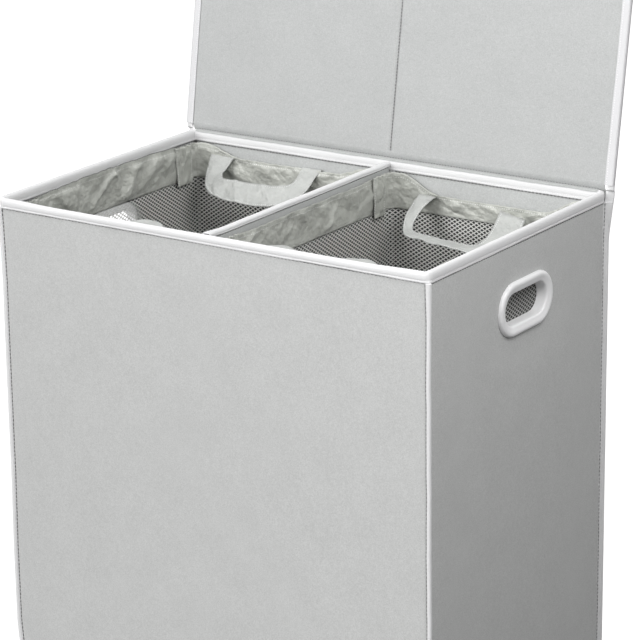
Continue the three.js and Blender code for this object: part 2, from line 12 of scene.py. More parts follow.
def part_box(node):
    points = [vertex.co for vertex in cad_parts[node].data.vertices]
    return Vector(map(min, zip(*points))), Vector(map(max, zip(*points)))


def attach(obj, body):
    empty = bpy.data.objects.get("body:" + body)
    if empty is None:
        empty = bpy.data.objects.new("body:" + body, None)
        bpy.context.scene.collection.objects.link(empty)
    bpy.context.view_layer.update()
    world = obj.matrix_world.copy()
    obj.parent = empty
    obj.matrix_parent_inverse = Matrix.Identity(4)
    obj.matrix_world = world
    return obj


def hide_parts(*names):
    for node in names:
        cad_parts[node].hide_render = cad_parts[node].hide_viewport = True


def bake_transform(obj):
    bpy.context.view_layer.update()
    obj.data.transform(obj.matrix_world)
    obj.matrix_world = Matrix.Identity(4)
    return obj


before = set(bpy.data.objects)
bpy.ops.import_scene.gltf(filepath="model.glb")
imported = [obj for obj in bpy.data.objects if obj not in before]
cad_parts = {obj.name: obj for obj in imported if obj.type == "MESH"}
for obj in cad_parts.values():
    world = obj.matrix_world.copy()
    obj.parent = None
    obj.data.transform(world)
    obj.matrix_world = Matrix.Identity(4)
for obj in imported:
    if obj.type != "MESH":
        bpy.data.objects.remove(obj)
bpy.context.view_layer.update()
MM = 0.001

# Camera, fitted to the rim, corners and lid of the reference photograph
PHOTO_SIDE = 640
FOCAL_PIXELS = 2947.1
CENTRE_PIXEL_X = 257.9
CENTRE_PIXEL_Y = 405.3
CAMERA_YAW = 0.62508
CAMERA_PITCH = 0.33589
CAMERA_ROLL = -0.02365
CAMERA_PLACE = (1937.06, -2781.04, 1528.01)
CAMERA_REACH = 100
SENSOR = 36

# Sizes shared with the CAD model
WIDTH, DEPTH, HEIGHT = 610.0, 395.0, 610.0
CORNER = 10.0
COVER_DEPTH, COVER_THICK = 1.5, 0.8
LINING_DEPTH, LINING_THICK = 5.9, 0.8
RIM_INSIDE = 8.2
GRIP_HOLE = (92.0, 38.0)
GRIP_PLACE = (8.0, 520.5)
DIVIDER_BOTTOM, DIVIDER_TOP = 4.8, 607.0
HINGE_Y, HINGE_Z = DEPTH / 2 + 1.5, 615.6
LID_LEAN = math.radians(9.4)
LID_HALF_WIDTH, LID_LENGTH = WIDTH / 2 + 9, DEPTH + 10.5
BAG_HALF_X, BAG_HALF_Y, BAG_MIDDLE = 144.8, DEPTH / 2 - 9.6, 149.9
BAG_RADIUS = 16.0
BAND_TOP, BAND_BOTTOM = 596.0, 550.0
NET_TOP, NET_BOTTOM, NET_TAPER = 549.7, 6.6, 8.0
STRAP_WIDTH, STRAP_SHIFT = 25.0, 28.0
STRAP_PIVOT = (BAG_HALF_Y - 2.2, 580.0)


# Shapes from grids of points
def unit(v):
    return v / np.maximum(np.linalg.norm(v, axis=-1, keepdims=True), 1e-12)


def smooth(x, low=0.0, high=1.0):
    t = np.clip((np.asarray(x, float) - low) / (high - low), 0, 1)
    return t * t * (3 - 2 * t)


def so_far(*axes):
    """The length so far at each point of a line, from its coordinates."""
    return np.concatenate([[0], np.cumsum(np.sqrt(sum(np.diff(axis) ** 2 for axis in axes)))])


def stations(start, end, step):
    return np.linspace(start, end, max(2, int(round(abs(end - start) / step)) + 1))


def points_at(x, y, z):
    """Coordinates as points: each is a grid, or a line or a number that repeats."""
    return np.stack(np.broadcast_arrays(np.asarray(x, float), y, z), -1)


def raise_to(flat, z):
    """Plan points and heights as points: either is a grid, or a line that the other repeats."""
    return points_at(flat[..., 0], flat[..., 1], z)


def box_of(node):
    return (np.array(v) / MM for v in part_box(node))


def ripple(seed, count, shortest, longest):
    """A smooth bumpy field over two lengths, about -1 to 1, the same on every run."""
    rng = np.random.default_rng(seed)
    angles = rng.uniform(0, math.tau, count)
    lengths = shortest * (longest / shortest) ** rng.random(count)
    phases = rng.uniform(0, math.tau, count)
    weights = (lengths / longest) ** 0.6
    weights = weights / math.sqrt((weights ** 2).sum() / 2)

    def field(u, v):
        total = 0
        for angle, length, phase, weight in zip(angles, lengths, phases, weights):
            across = (u * math.cos(angle) + v * math.sin(angle)) * math.tau / length
            total = total + weight * np.sin(across + phase)
        return total * 0.5
    return field


def write_mesh(name, points, faces, material, uvs=None, sharp=35):
    """faces is a list of index arrays, each with its own number of corners; uvs are per face corner."""
    mesh = bpy.data.meshes.new(name)
    loops = np.concatenate([f.ravel() for f in faces]).astype(np.int32)
    sizes = np.concatenate([np.full(len(f), f.shape[1]) for f in faces])
    starts = (np.cumsum(sizes) - sizes).astype(np.int32)
    mesh.vertices.add(len(points))
    mesh.vertices.foreach_set("co", (np.asarray(points, float) * MM).astype(np.float32).ravel())
    mesh.loops.add(len(loops))
    mesh.loops.foreach_set("vertex_index", loops)
    mesh.polygons.add(len(starts))
    mesh.polygons.foreach_set("loop_start", starts)
    mesh.update(calc_edges=True)
    mesh.validate()
    if uvs is not None:
        layer = mesh.uv_layers.new(name="UVMap")
        flat = np.concatenate([u.reshape(-1, 2) for u in uvs]) * MM
        layer.data.foreach_set("uv", flat.astype(np.float32).ravel())
    mesh.shade_smooth()
    if sharp:
        mesh.set_sharp_from_angle(angle=math.radians(sharp))
    mesh.materials.append(material)
    obj = bpy.data.objects.new(name, mesh)
    bpy.context.scene.collection.objects.link(obj)
    return obj


def slab_faces(rows, columns, wrap_rows=False, wrap_columns=False, mask=None):
    """Corner indices of the cells of a grid of points, with each cell's corners on the uv grid."""
    r = np.arange(rows if wrap_rows else rows - 1)
    c = np.arange(columns if wrap_columns else columns - 1)
    r, c = np.meshgrid(r, c, indexing="ij")
    if mask is not None:
        r, c = r[mask], c[mask]
    r, c = r.ravel(), c.ravel()
    corners = ((r, c), (r, c + 1), (r + 1, c + 1), (r + 1, c))
    points = np.stack([(a % rows) * columns + b % columns for a, b in corners], 1)
    marks = np.stack([a * (columns + 1) + b for a, b in corners], 1)
    return points, marks


def uv_grid(along, across):
    """uv pairs for a grid of (len(along), len(across)) points, one longer each way for wrapped ends."""
    def longer(a):
        return np.append(a, 2 * a[-1] - a[-2])
    v, u = np.meshgrid(longer(along), longer(across), indexing="ij")
    return np.stack([u, v], -1).reshape(-1, 2)


def slab(name, outer, inner, along, across, material, wrap_columns=False, mask=None, sharp=35):
    """A closed sheet between an outer and an inner grid of points, with edges round its rim and holes."""
    rows, columns = outer.shape[:2]
    count = rows * columns
    uv = uv_grid(along, across)
    quads, marks = slab_faces(rows, columns, False, wrap_columns, mask)
    points = np.concatenate([outer.reshape(-1, 3), inner.reshape(-1, 3)])
    edges = np.concatenate([quads[:, [k, (k + 1) % 4]] for k in range(4)])
    edge_marks = np.concatenate([marks[:, [k, (k + 1) % 4]] for k in range(4)])
    key = edges[:, 0].astype(np.int64) * count + edges[:, 1]
    back = edges[:, 1].astype(np.int64) * count + edges[:, 0]
    rim = ~np.isin(key, back)
    a, b = edges[rim, 0], edges[rim, 1]
    faces = [quads, quads[:, ::-1] + count, np.stack([b, a, a + count, b + count], 1)]
    uvs = [uv[marks], uv[marks[:, ::-1]], uv[edge_marks[rim][:, [1, 0, 0, 1]]]]
    return write_mesh(name, points, faces, material, uvs, sharp)


def tube(name, grid, along, around, material, wrap_rows=False, sharp=50):
    """A bar swept from closed profiles, one a row. Its ends are closed unless its rows wrap."""
    rows, columns = grid.shape[:2]
    uv = uv_grid(along, around)
    quads, marks = slab_faces(rows, columns, wrap_rows, True)
    faces, uvs = [quads], [uv[marks]]
    if not wrap_rows:
        first = np.arange(columns)[::-1][None]
        last = np.arange(columns)[None] + (rows - 1) * columns
        faces += [first, last]
        uvs += [uv[:columns][::-1], uv[(rows - 1) * (columns + 1):][:columns]]
    return write_mesh(name, grid.reshape(-1, 3), faces, material, uvs, sharp)


def normals_of(grid, wrap_columns=False):
    if wrap_columns:
        wrapped = np.concatenate([grid[:, -1:], grid, grid[:, :1]], 1)
        across = np.gradient(wrapped, axis=1)[:, 1:-1]
    else:
        across = np.gradient(grid, axis=1)
    return unit(np.cross(across, np.gradient(grid, axis=0)))


def sheet_of(name, grid, thick, along, across, material, wrap_columns=False, sharp=0):
    """A cloth of even thickness, half of it on each side of a grid of points."""
    n = normals_of(grid, wrap_columns) * thick / 2
    return slab(name, grid + n, grid - n, along, across, material, wrap_columns, None, sharp)


def loop_path(half_x, half_y, radius, step):
    """Once round a rounded rectangle from the middle of its back: corner line, outward way, length so far."""
    inner_x, inner_y = half_x - radius, half_y - radius
    sides = [inner_x, inner_y * 2, inner_x * 2, inner_y * 2, inner_x]
    starts = [(0, inner_y), (inner_x, inner_y), (inner_x, -inner_y), (-inner_x, -inner_y),
              (-inner_x, inner_y)]
    steps = [(1, 0), (0, -1), (-1, 0), (0, 1), (1, 0)]
    count = max(4, int(radius * math.pi / 2 / min(step, 1.5)))
    base, way = [], []
    for k in range(5):
        straight = np.array(starts[k]) + stations(0, sides[k], step)[:, None] * np.array(steps[k])
        base.append(straight[:-1] if k == 4 else straight)
        angle = math.radians(90 - 90 * k)
        way.append(np.tile([math.cos(angle), math.sin(angle)], (len(base[-1]), 1)))
        if k < 4:
            angles = np.radians(90 - 90 * k - np.arange(1, count) * 90 / count)
            base.append(np.tile(np.array(starts[k + 1], float), (count - 1, 1)))
            way.append(np.stack([np.cos(angles), np.sin(angles)], 1))
    base, way = np.concatenate(base), np.concatenate(way)
    return base, way, so_far(*(base + way * radius).T)


WALLS = {}
for wall, along in (("front", (1, 0)), ("right", (0, 1)), ("back", (-1, 0)), ("left", (0, -1))):
    halves = (WIDTH / 2, DEPTH / 2) if along[0] else (DEPTH / 2, WIDTH / 2)
    WALLS[wall] = (np.array(along, float), np.array([along[1], -along[0]], float), *halves)


def wall_path(wall, step, radius):
    """Along one wall from seam to seam, with half of each corner's curve."""
    along, out, half_length, half_out = WALLS[wall]
    reach = half_length - CORNER
    line = stations(-reach, reach, step)
    turns = np.radians(np.linspace(3, 45, 8))
    angles = np.concatenate([-turns[::-1], 0 * line, turns])[:, None]
    s = np.concatenate([np.full(len(turns), -reach), line, np.full(len(turns), reach)])
    base = s[:, None] * along + out * (half_out - CORNER)
    return base, out * np.cos(angles) + along * np.sin(angles), s + angles[:, 0] * radius


def thread_and_shade_beads(name, body, slot, line, normals, material, pitch=3.0, length=2.3, width=0.7, height=0.45,
             closed=False):
    """Thread along a line: one small bead for each stitch, sunk to half of its height. In the dark crease
    colour the beads paint a line of shade instead.
    """
    line = np.asarray(line, float)
    normals = np.broadcast_to(np.asarray(normals, float), line.shape)
    if closed:
        line, normals = (np.vstack([v, v[:1]]) for v in (line, normals))
    reached = so_far(*line.T)
    count = int(reached[-1] / pitch)
    at = (np.arange(count) + 0.5) * reached[-1] / count

    def take(values, where):
        return np.stack([np.interp(where, reached, values[:, k]) for k in range(3)], 1)
    centre, normal = take(line, at), unit(take(normals, at))
    tangent = unit(take(line, at + 0.4) - take(line, at - 0.4))
    side = unit(np.cross(tangent, normal))
    offsets = [(1, 0, 0), (0, 1, 0), (-1, 0, 0), (0, -1, 0), (0, 0, 1), (0, 0, -1)]
    points = np.stack([centre + tangent * (a * length / 2) + side * (b * width / 2) + normal * (c * height)
                       for a, b, c in offsets], 1)
    triangles = np.array([(0, 1, 4), (1, 2, 4), (2, 3, 4), (3, 0, 4),
                          (1, 0, 5), (2, 1, 5), (3, 2, 5), (0, 3, 5)])
    faces = (np.arange(count)[:, None, None] * 6 + triangles).reshape(-1, 3)
    return declare(write_mesh(name, points.reshape(-1, 3), [faces], material, None, 0), body)


def declare(obj, body, replaces=(),
            bend=None):
    """What one piece belongs to. It rides a body, unless a bend is given: then it is fixed where it
    stands and rides nothing."""
    if bend:
        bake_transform(obj)
    else:
        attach(obj, body)
    if replaces:
        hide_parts(*replaces)
    return obj


# Materials
class Nodes:
    """Short ways to add nodes to a material or a world."""

    def __init__(self, owner):
        owner.use_nodes = True
        self.tree = owner.node_tree
        self.tree.nodes.clear()

    def set(self, node, inputs):
        for key, value in inputs.items():
            if isinstance(value, bpy.types.NodeSocket):
                self.tree.links.new(value, node.inputs[key])
            else:
                node.inputs[key].default_value = value
        return node

    def add(self, kind, inputs=None, **settings):
        node = self.tree.nodes.new(kind)
        for key, value in settings.items():
            setattr(node, key, value)
        return self.set(node, inputs or {})

    def math(self, operation, a, b=0.0):
        return self.add("ShaderNodeMath", {0: a, 1: b}, operation=operation).outputs[0]


class Shader(Nodes):
    """A material with one principled surface. Its noise and ribs are sized in millimetres."""

    def __init__(self, name, roughness, specular):
        self.material = bpy.data.materials.new(name)
        super().__init__(self.material)
        self.surface = self.add("ShaderNodeBsdfPrincipled",
                                {"Roughness": roughness, "Specular IOR Level": specular})
        self.out = self.add("ShaderNodeOutputMaterial", {"Surface": self.surface.outputs[0]})

    def noise(self, per_mm, detail=2.0, roughness=0.5):
        place = self.add("ShaderNodeTexCoord").outputs["Object"]
        return self.add("ShaderNodeTexNoise", {"Scale": per_mm / MM, "Detail": detail, "Roughness": roughness,
                                               "Vector": place}).outputs["Fac"]

    def spread(self, value, to_low, to_high, low=0.3, high=0.7):
        return self.add("ShaderNodeMapRange", {"Value": value, "From Min": low, "From Max": high,
                                               "To Min": to_low, "To Max": to_high}).outputs[0]

    def colour(self, rgb, *factors):
        """rgb times every factor."""
        value = factors[0]
        for factor in factors[1:]:
            value = self.math("MULTIPLY", value, factor)
        scaled = self.add("ShaderNodeVectorMath", {0: rgb}, operation="SCALE")
        self.set(scaled, {"Scale": value})
        self.set(self.surface, {"Base Color": scaled.outputs[0]})

    def bump(self, height, depth, strength=0.6):
        node = self.add("ShaderNodeBump", {"Height": height, "Distance": depth * MM, "Strength": strength})
        self.set(self.surface, {"Normal": node.outputs[0]})

    def ribs(self, axis, pitch):
        """0 to 1 to 0 along u or v of the uv map, once for each pitch."""
        uv = self.add("ShaderNodeTexCoord").outputs["UV"]
        part = self.add("ShaderNodeSeparateXYZ", {0: uv}).outputs[axis]
        turned = self.math("MULTIPLY", part, math.tau / (pitch * MM))
        return self.spread(self.math("SINE", turned), 0, 1, -1, 1)


def non_woven(name, rgb):
    """Spun-bond cloth: a fine grid of pressed dots, loose fibre and a faint cloudiness."""
    look = Shader(name, 0.92, 0.2)
    fibre = look.noise(0.7, 4, 0.75)
    dots = look.math("MULTIPLY", look.ribs(0, 2.0), look.ribs(1, 2.0))
    clouds = look.spread(look.noise(0.16, 3, 0.6), 0.975, 1.025), look.spread(look.noise(0.02), 0.98, 1.02)
    look.colour(rgb, *clouds, look.spread(fibre, 0.84, 1.16))
    look.bump(look.math("ADD", look.math("MULTIPLY", dots, -0.6), fibre), 0.12)
    look.set(look.surface, {"Sheen Weight": 0.15, "Sheen Roughness": 0.6})
    return look.material


def satin_cloth(name, rgb):
    """Thin satin with a fine weave and soft crumples, and broad patches of painted shade and sheen in its
    colour.
    """
    look = Shader(name, 0.42, 0.5)
    weave = look.noise(2.2)
    # Painted shade and sheen: broad patches of the colour, 0.92 to 1.07, stand for the light and shade of
    # folds
    look.colour(rgb, look.spread(look.noise(0.04), 0.92, 1.07), look.spread(weave, 0.98, 1.02))
    crumple = look.math("MULTIPLY", look.noise(0.05, 3), 46.0)
    look.bump(look.math("ADD", crumple, look.math("MULTIPLY", weave, 0.4)), 0.2, 0.9)
    look.set(look.surface, {"Sheen Weight": 0.2, "Sheen Roughness": 0.4})
    return look.material


def woven_tape(name, rgb):
    """Ribbed binding tape with a little fuzz."""
    look = Shader(name, 0.75, 0.3)
    ribs = look.math("ADD", look.ribs(1, 0.9), look.math("MULTIPLY", look.ribs(0, 0.7), 0.4))
    fuzz = look.noise(0.9, 3)
    look.colour(rgb, look.spread(fuzz, 0.96, 1.02), look.spread(ribs, 0.97, 1.0, 0, 1.4))
    look.bump(look.math("ADD", ribs, fuzz), 0.1)
    return look.material


def plain(name, rgb, roughness, specular, per_mm, depth, colour_spread):
    """One colour with a grain that shifts it a little and roughens the surface."""
    look = Shader(name, roughness, specular)
    grain = look.noise(per_mm, 3)
    look.colour(rgb, look.spread(grain, 1 - colour_spread, 1 + colour_spread))
    look.bump(grain, depth)
    return look.material


GREY = non_woven("grey non-woven", (0.51, 0.515, 0.51))
LINING = non_woven("lining non-woven", (0.395, 0.402, 0.40))
# Painted shade: the back rim's edge cloth is painted darker than the other grey cloths, as its top faces the
# light
SHADED_EDGE_CLOTH = non_woven("edge cloth painted darker", (0.38, 0.39, 0.385))
# Painted light: the walls' linings, the divider and its flanges take a lighter copy of the lid's lining
# cloth, for light the box's shaded inside lacks
LIT_WALL_LINING = non_woven("wall lining, painted lighter", (0.47, 0.48, 0.475))
TAPE = woven_tape("white binding tape", (0.75, 0.75, 0.755))
# Painted shade: the lid's binding is the same white tape, painted darker where the lid faces the light
LID_TAPE_PAINTED_DARKER = woven_tape("binding tape painted darker on the lid", (0.60, 0.60, 0.61))
SATIN = satin_cloth("grey satin", (0.45, 0.46, 0.425))
# Painted shade: the straps are the band's satin, painted a little darker as they face the light
SHADED_STRAP_SATIN = satin_cloth("grey satin, painted darker for the straps", (0.43, 0.44, 0.425))
NET = plain("knitted net", (0.70, 0.705, 0.68), 0.6, 0.4, 1.5, 0.1, 0.08)
# Painted shade: the net seen through the grip, a darker copy of the net's colour
SHADED_NET_COPY = plain("net in painted shade, seen through the grip", (0.34, 0.34, 0.33), 0.7, 0.3, 1.5, 0.1, 0.08)
# Painted shade: a near-black sheet behind the net, where its holes show only shade; the grey below is that
# sheet's outer side
PAINTED_SHADE_SHEET = plain("painted shade behind the net", (0.05, 0.051, 0.05), 0.95, 0.1, 1.5, 0.05, 0.02)
NET_OUTSIDE = plain("net seen from outside", (0.2, 0.201, 0.195), 0.9, 0.2, 1.5, 0.1, 0.02)
PLASTIC = plain("white moulded plastic", (0.87, 0.87, 0.875), 0.32, 0.5, 0.5, 0.01, 0.004)
BOARD = plain("grey board", (0.36, 0.34, 0.30), 0.9, 0.2, 0.6, 0.1, 0.08)
HOOK = plain("hook tape", (0.72, 0.72, 0.71), 0.9, 0.2, 1.2, 0.4, 0.06)
THREAD = plain("white thread", (0.88, 0.88, 0.88), 0.7, 0.3, 2.0, 0.05, 0.02)
SEAM_THREAD = plain("grey thread", (0.42, 0.43, 0.42), 0.8, 0.3, 2.0, 0.05, 0.02)
# Painted shade: the dark grey of lines of shade along creases, seams and the feet of tapes
PAINTED_CREASE_SHADE = plain("painted crease shade", (0.22, 0.22, 0.22), 0.9, 0.1, 2.0, 0.02, 0.02)
# Painted shade: beads of the dark crease colour, longer than their pitch, run together into a line of shade
# along a crease
FOLD_SHADE_LINE = {"pitch": 5, "length": 5.6}
SEAM_SHADE_LINE = {"pitch": 4, "length": 4.6}

# Walls: a bulged cover outside and a lining set in by the board
COVER_FOOT, COVER_HEAD = 2.2, 607.5
LINING_FOOT, LINING_HEAD, LINING_SIDE = 5.5, 608.0, 11.0
# The cover lies flat round its grip, within these half sizes
FLAT_HALF_X, FLAT_HALF_Z = 85, 60
CROWN = {"front": 0.8, "back": 0.5, "left": 1.2, "right": 1.6}
HOLE_ROOM = {"cover": 7, "lining": 4, "net": 12}
FRONT_SAG, SAG_ROOM, BOARD_ROOM = 2.3, 0.6, 1.4
# Up the front left corner: height, and how far the seam has settled to the right there
SETTLED = [(20, 0), (60, -3), (160, -2.4), (260, 0), (420, 1.4), (500, 2.6), (570, 1.6), (596, 0.4)]
SETTLED_WIDTH, SETTLED_START, SETTLED_END = 45, 130, 185


def past_hole(u, z, size_more):
    """True where a point lies outside the grip's hole, grown by size_more."""
    half_x, half_z = GRIP_HOLE[0] / 2 + size_more, GRIP_HOLE[1] / 2 + size_more
    reach = np.maximum(np.abs(u) - (half_x - half_z), 0)
    return reach ** 2 + z ** 2 > half_z ** 2


def cells_past_hole(u, z, grip_u, size_more):
    """Which cells between two rows of stations lie outside the grip's hole."""
    middle_u, middle_z = (u[1:] + u[:-1]) / 2, (z[1:] + z[:-1]) / 2
    return past_hole(middle_u[None] - grip_u, middle_z[:, None] - GRIP_PLACE[1], size_more)


def settle(points):
    """Points near the front left corner, moved sideways as the soft corner has settled."""
    heights, moves = np.array(SETTLED, float).T
    near = np.exp(-((points[..., 0] + WIDTH / 2) / SETTLED_WIDTH) ** 2)
    near = near * smooth(-points[..., 1], SETTLED_START, SETTLED_END)
    moved = points.copy()
    moved[..., 0] += near * np.interp(points[..., 2], heights, moves)
    return moved


def wall_cover(wall, number, grip_u, lower):
    base, way, s = wall_path(wall, 5, CORNER - COVER_DEPTH)
    z = stations(COVER_FOOT, COVER_HEAD - lower, 5)
    grid_s, grid_z = np.meshgrid(s, z)
    half_length = WALLS[wall][2]
    share = np.clip(1 - (grid_s / half_length) ** 2, 0, 1)
    share = share * np.clip(1 - (grid_z / HEIGHT * 2 - 1) ** 6, 0, 1)
    bulge = share * (CROWN[wall] + 0.22 * ripple(11 + number, 14, 45, 260)(grid_s, grid_z))
    hole = None
    if grip_u is not None:
        from_grip = np.hypot((grid_s - grip_u) / FLAT_HALF_X, (grid_z - GRIP_PLACE[1]) / FLAT_HALF_Z)
        bulge = bulge * smooth(from_grip, 0.7, 1.4)
        hole = cells_past_hole(s, z, grip_u, HOLE_ROOM["cover"])
    faces = [settle(raise_to(base + way * (CORNER - COVER_DEPTH + bulge - deep)[..., None], grid_z))
             for deep in (0, COVER_THICK)]
    return slab(f"{wall}_cover_cloth", *faces, z, s, GREY, mask=hole)


def wall_lining(wall, number, grip_u, lower):
    along, out, half_length, half_out = WALLS[wall]
    s = stations(LINING_SIDE - half_length, half_length - LINING_SIDE, 6)
    z = stations(LINING_FOOT, LINING_HEAD - lower, 6)
    grid_s, grid_z = np.meshgrid(s, z)
    dip = (0.25 + 0.2 * ripple(31 + number, 10, 50, 220)(grid_s, grid_z)).clip(0, 0.6)
    behind = s[:, None] * along + out * (half_out - LINING_DEPTH)
    face = behind - out * (LINING_THICK + dip)[..., None]
    hole = None if grip_u is None else cells_past_hole(s, z, grip_u, HOLE_ROOM["lining"])
    return slab(f"{wall}_lining_cloth", raise_to(behind, grid_z), raise_to(face, grid_z), z, s, LIT_WALL_LINING,
                mask=hole)


def front_board():
    """The front panel's board, lowered to sag with its cloth."""
    lo, hi = box_of("front_board")
    x, z = stations(lo[0], hi[0], 100), stations(lo[2], hi[2] - FRONT_SAG - BOARD_ROOM, 100)
    grid_x, grid_z = np.meshgrid(x, z)
    board = slab("front_board_panel", *(points_at(grid_x, v, grid_z) for v in (lo[1], hi[1])), z, x, BOARD)
    declare(board, "hamper", ["front_board"])


for number, wall in enumerate(WALLS):
    grip_u = {"left": -GRIP_PLACE[0], "right": GRIP_PLACE[0]}.get(wall)
    lower = FRONT_SAG + SAG_ROOM if wall == "front" else 0
    declare(wall_cover(wall, number, grip_u, lower), "hamper", [f"{wall}_cover"])
    if wall == "front":
        front_board()
    declare(wall_lining(wall, number, grip_u, lower), "hamper", [f"{wall}_lining"])

# Tape folded over the rim, and under the base: each point's depth inside the wall's face, and its height from
# the folded edge
RIM_PROFILE = [
    (1.35, -13.1), (0.5, -13.4), (0.05, -12.6), (0.05, -11.7), (0.5, -10.7), (0.1, -9.7), (-0.15, -7.5),
    (-0.25, -4.6), (0.1, -2.4), (1.1, -0.8), (2.6, -0.1), (4.1, 0.0), (5.6, -0.1), (7.1, -0.8), (8.1, -2.4),
    (8.45, -4.6), (8.35, -7.5), (8.1, -9.7), (7.8, -10.7), (8.1, -11.7), (8.15, -12.6), (7.7, -13.4),
    (6.9, -13.1), (6.95, -7), (6.8, -1.9), (1.6, -1.9), (1.35, -7),
]
BASE_PROFILE = [
    (1.35, -12.9), (0.55, -13.2), (0.15, -12.2), (0.2, -11.2), (0.95, -9.8), (0.25, -8.3), (0.0, -6.5),
    (0.0, -4.6), (0.1, -2.4), (1.1, -0.8), (2.6, -0.1), (4.1, 0.0), (5.6, 0.0), (7.1, 0.0), (8.1, 0.0),
    (9.0, 0.0), (9.2, -0.3), (9.2, -0.7), (9.0, -1.0), (8.0, -1.1), (7.5, -1.1), (7.0, -1.1), (6.0, -1.1),
    (5.0, -1.1), (3.0, -1.1), (1.6, -1.3), (1.35, -7),
]
THREAD_POINTS = {"outer": 4, "inner": 18}
FOOT_POINTS = [0, 1, 2, 3, 19, 20, 21, 22]
RIDGE_DEPTH = 4.1
CREASE_SHADE_DROP, CREASE_SHADE_DEPTHS = 14.1, {"outer": 0.9, "inner": 7.9}


def edge_tape(name, profile, top, flip, replaces, seed):
    """Tape folded over the whole rim, or upside down under the base."""
    base, way, s = loop_path(WIDTH / 2, DEPTH / 2, CORNER, 6)
    depth, drop = np.array(profile).T
    wander = ripple(seed, 9, 18, 140)
    grid_s = np.repeat(s[:, None], len(profile), 1)
    sink = np.zeros(len(profile))
    sink[FOOT_POINTS] = 1
    heights = top + flip * (drop[None] + 0.45 * sink * wander(grid_s, 0))
    if flip > 0:
        at_front = smooth(-way[:, 1], 0.6, 1) * (0.4 + 0.6 * smooth(WIDTH / 2 - np.abs(base[:, 0]), 10, 90))
        slope = FRONT_SAG + 0.28 * np.clip(depth - 3.0, 0, 5)
        heights = heights - at_front[:, None] * (slope * smooth(drop, -11, -7))[None]
    swell = 0.12 * wander(grid_s * 1.3, 40.0) * np.where(depth < RIDGE_DEPTH, 1, -1)
    radius = CORNER - depth[None] + swell * (np.abs(depth[None] - RIDGE_DEPTH) > 3)
    grid = raise_to(base[:, None] + way[:, None] * radius[..., None], heights)
    rows = grid if flip > 0 else grid[:, ::-1]
    tape = tube(name, rows, s, so_far(depth, drop), TAPE, wrap_rows=True)
    for side, sign in (("outer", 1), ("inner", -1))[:1 if flip < 0 else 2]:
        out = raise_to(way * sign, 0)
        thread_and_shade_beads(f"{name}_{side}_stitches", "hamper", "white_tape",
                                grid[:, THREAD_POINTS[side]], out, THREAD, closed=True)
        # Painted shade: a dark line along the foot of the rim tape, outside and inside
        if flip > 0:
            row = raise_to(base + way * (CORNER - CREASE_SHADE_DEPTHS[side]),
                           top - CREASE_SHADE_DROP + 0.7 * smooth(-way[:, 1], 0.6, 1) * sign)
            thread_and_shade_beads(f"{name}_{side}_crease", "hamper", "white_tape", row, out, PAINTED_CREASE_SHADE,
                                    **FOLD_SHADE_LINE, width=1.8, height=0.5, closed=True)
    declare(tape, "hamper", replaces)


edge_tape("rim_tape", RIM_PROFILE, HEIGHT, 1, ["rim_binding"], 51)
edge_tape("base_tape", BASE_PROFILE, 0, -1, ["base_binding"], 52)

# Tape folded along the upright corner seams: across the seam, and out from the corner's centre
FIN_PROFILE = [(-2.2, 7.6), (-2.5, 9.2), (-2.7, 11.2), (-2.3, 12.6), (-1.2, 13.6), (0, 13.9),
               (1.2, 13.6), (2.3, 12.6), (2.7, 11.2), (2.5, 9.2), (2.2, 7.6), (1.2, 8.2), (-1.2, 8.2)]
FIN_FOOT, FIN_HEAD, FIN_SPREAD_FROM = 13.6, 596.4, 545
BACK_FIN_REACH, BACK_FIN_SHIFT = 2.8, 4.5
FIN_CREASE_SHADES = (("first", 1, -1), ("second", 9, 1))


def corner_tape(name, sx, sy, seed):
    """One upright seam's tape, wider at its head. A back one stands further out and leans sideways there."""
    out = np.array([sx, sy]) / math.sqrt(2)
    across = np.array([-out[1], out[0]])
    centre = np.array([sx * (WIDTH / 2 - CORNER), sy * (DEPTH / 2 - CORNER)])
    z = stations(FIN_FOOT, FIN_HEAD, 6)
    half, reach = np.array(FIN_PROFILE).T
    wander = ripple(seed, 8, 25, 200)
    high = smooth(z, FIN_SPREAD_FROM, 596)[:, None]
    proud = smooth(reach, 7.5, 13)[None]
    a = half[None] * (1 + 0.05 * wander(z, 0)[:, None]) + 0.3 * wander(z, 70)[:, None]
    a = a + high * np.sign(half)[None] * 0.6
    r = reach[None] + (BACK_FIN_REACH if sy > 0 else 0.4 * high) * proud
    plan = centre + a[..., None] * across + r[..., None] * out
    if sy > 0:
        plan[..., 0] += sx * BACK_FIN_SHIFT * high * proud
    grid = settle(raise_to(plan, z[:, None]))
    tape = tube(f"{name}_corner_tape", grid, z, so_far(half, reach), TAPE)
    # Painted shade: dark lines down both sides of the fin near its foot, where the tape meets the cover
    for label, column, turn in FIN_CREASE_SHADES:
        row = grid[:, column] + raise_to(across * turn * 0.35 - out * 0.5, 0)
        thread_and_shade_beads(f"{name}_corner_{label}_crease", "hamper", "white_tape", row,
                                raise_to(out * 0.6 + across * turn, 0), PAINTED_CREASE_SHADE, **FOLD_SHADE_LINE, width=1.4,
                                height=0.35)
    declare(tape, "hamper", [f"{name}_corner_binding"])


CORNERS = (("front_left", -1, -1), ("front_right", 1, -1), ("back_left", -1, 1), ("back_right", 1, 1))
for number, (name, sx, sy) in enumerate(CORNERS):
    corner_tape(name, sx, sy, 61 + number)

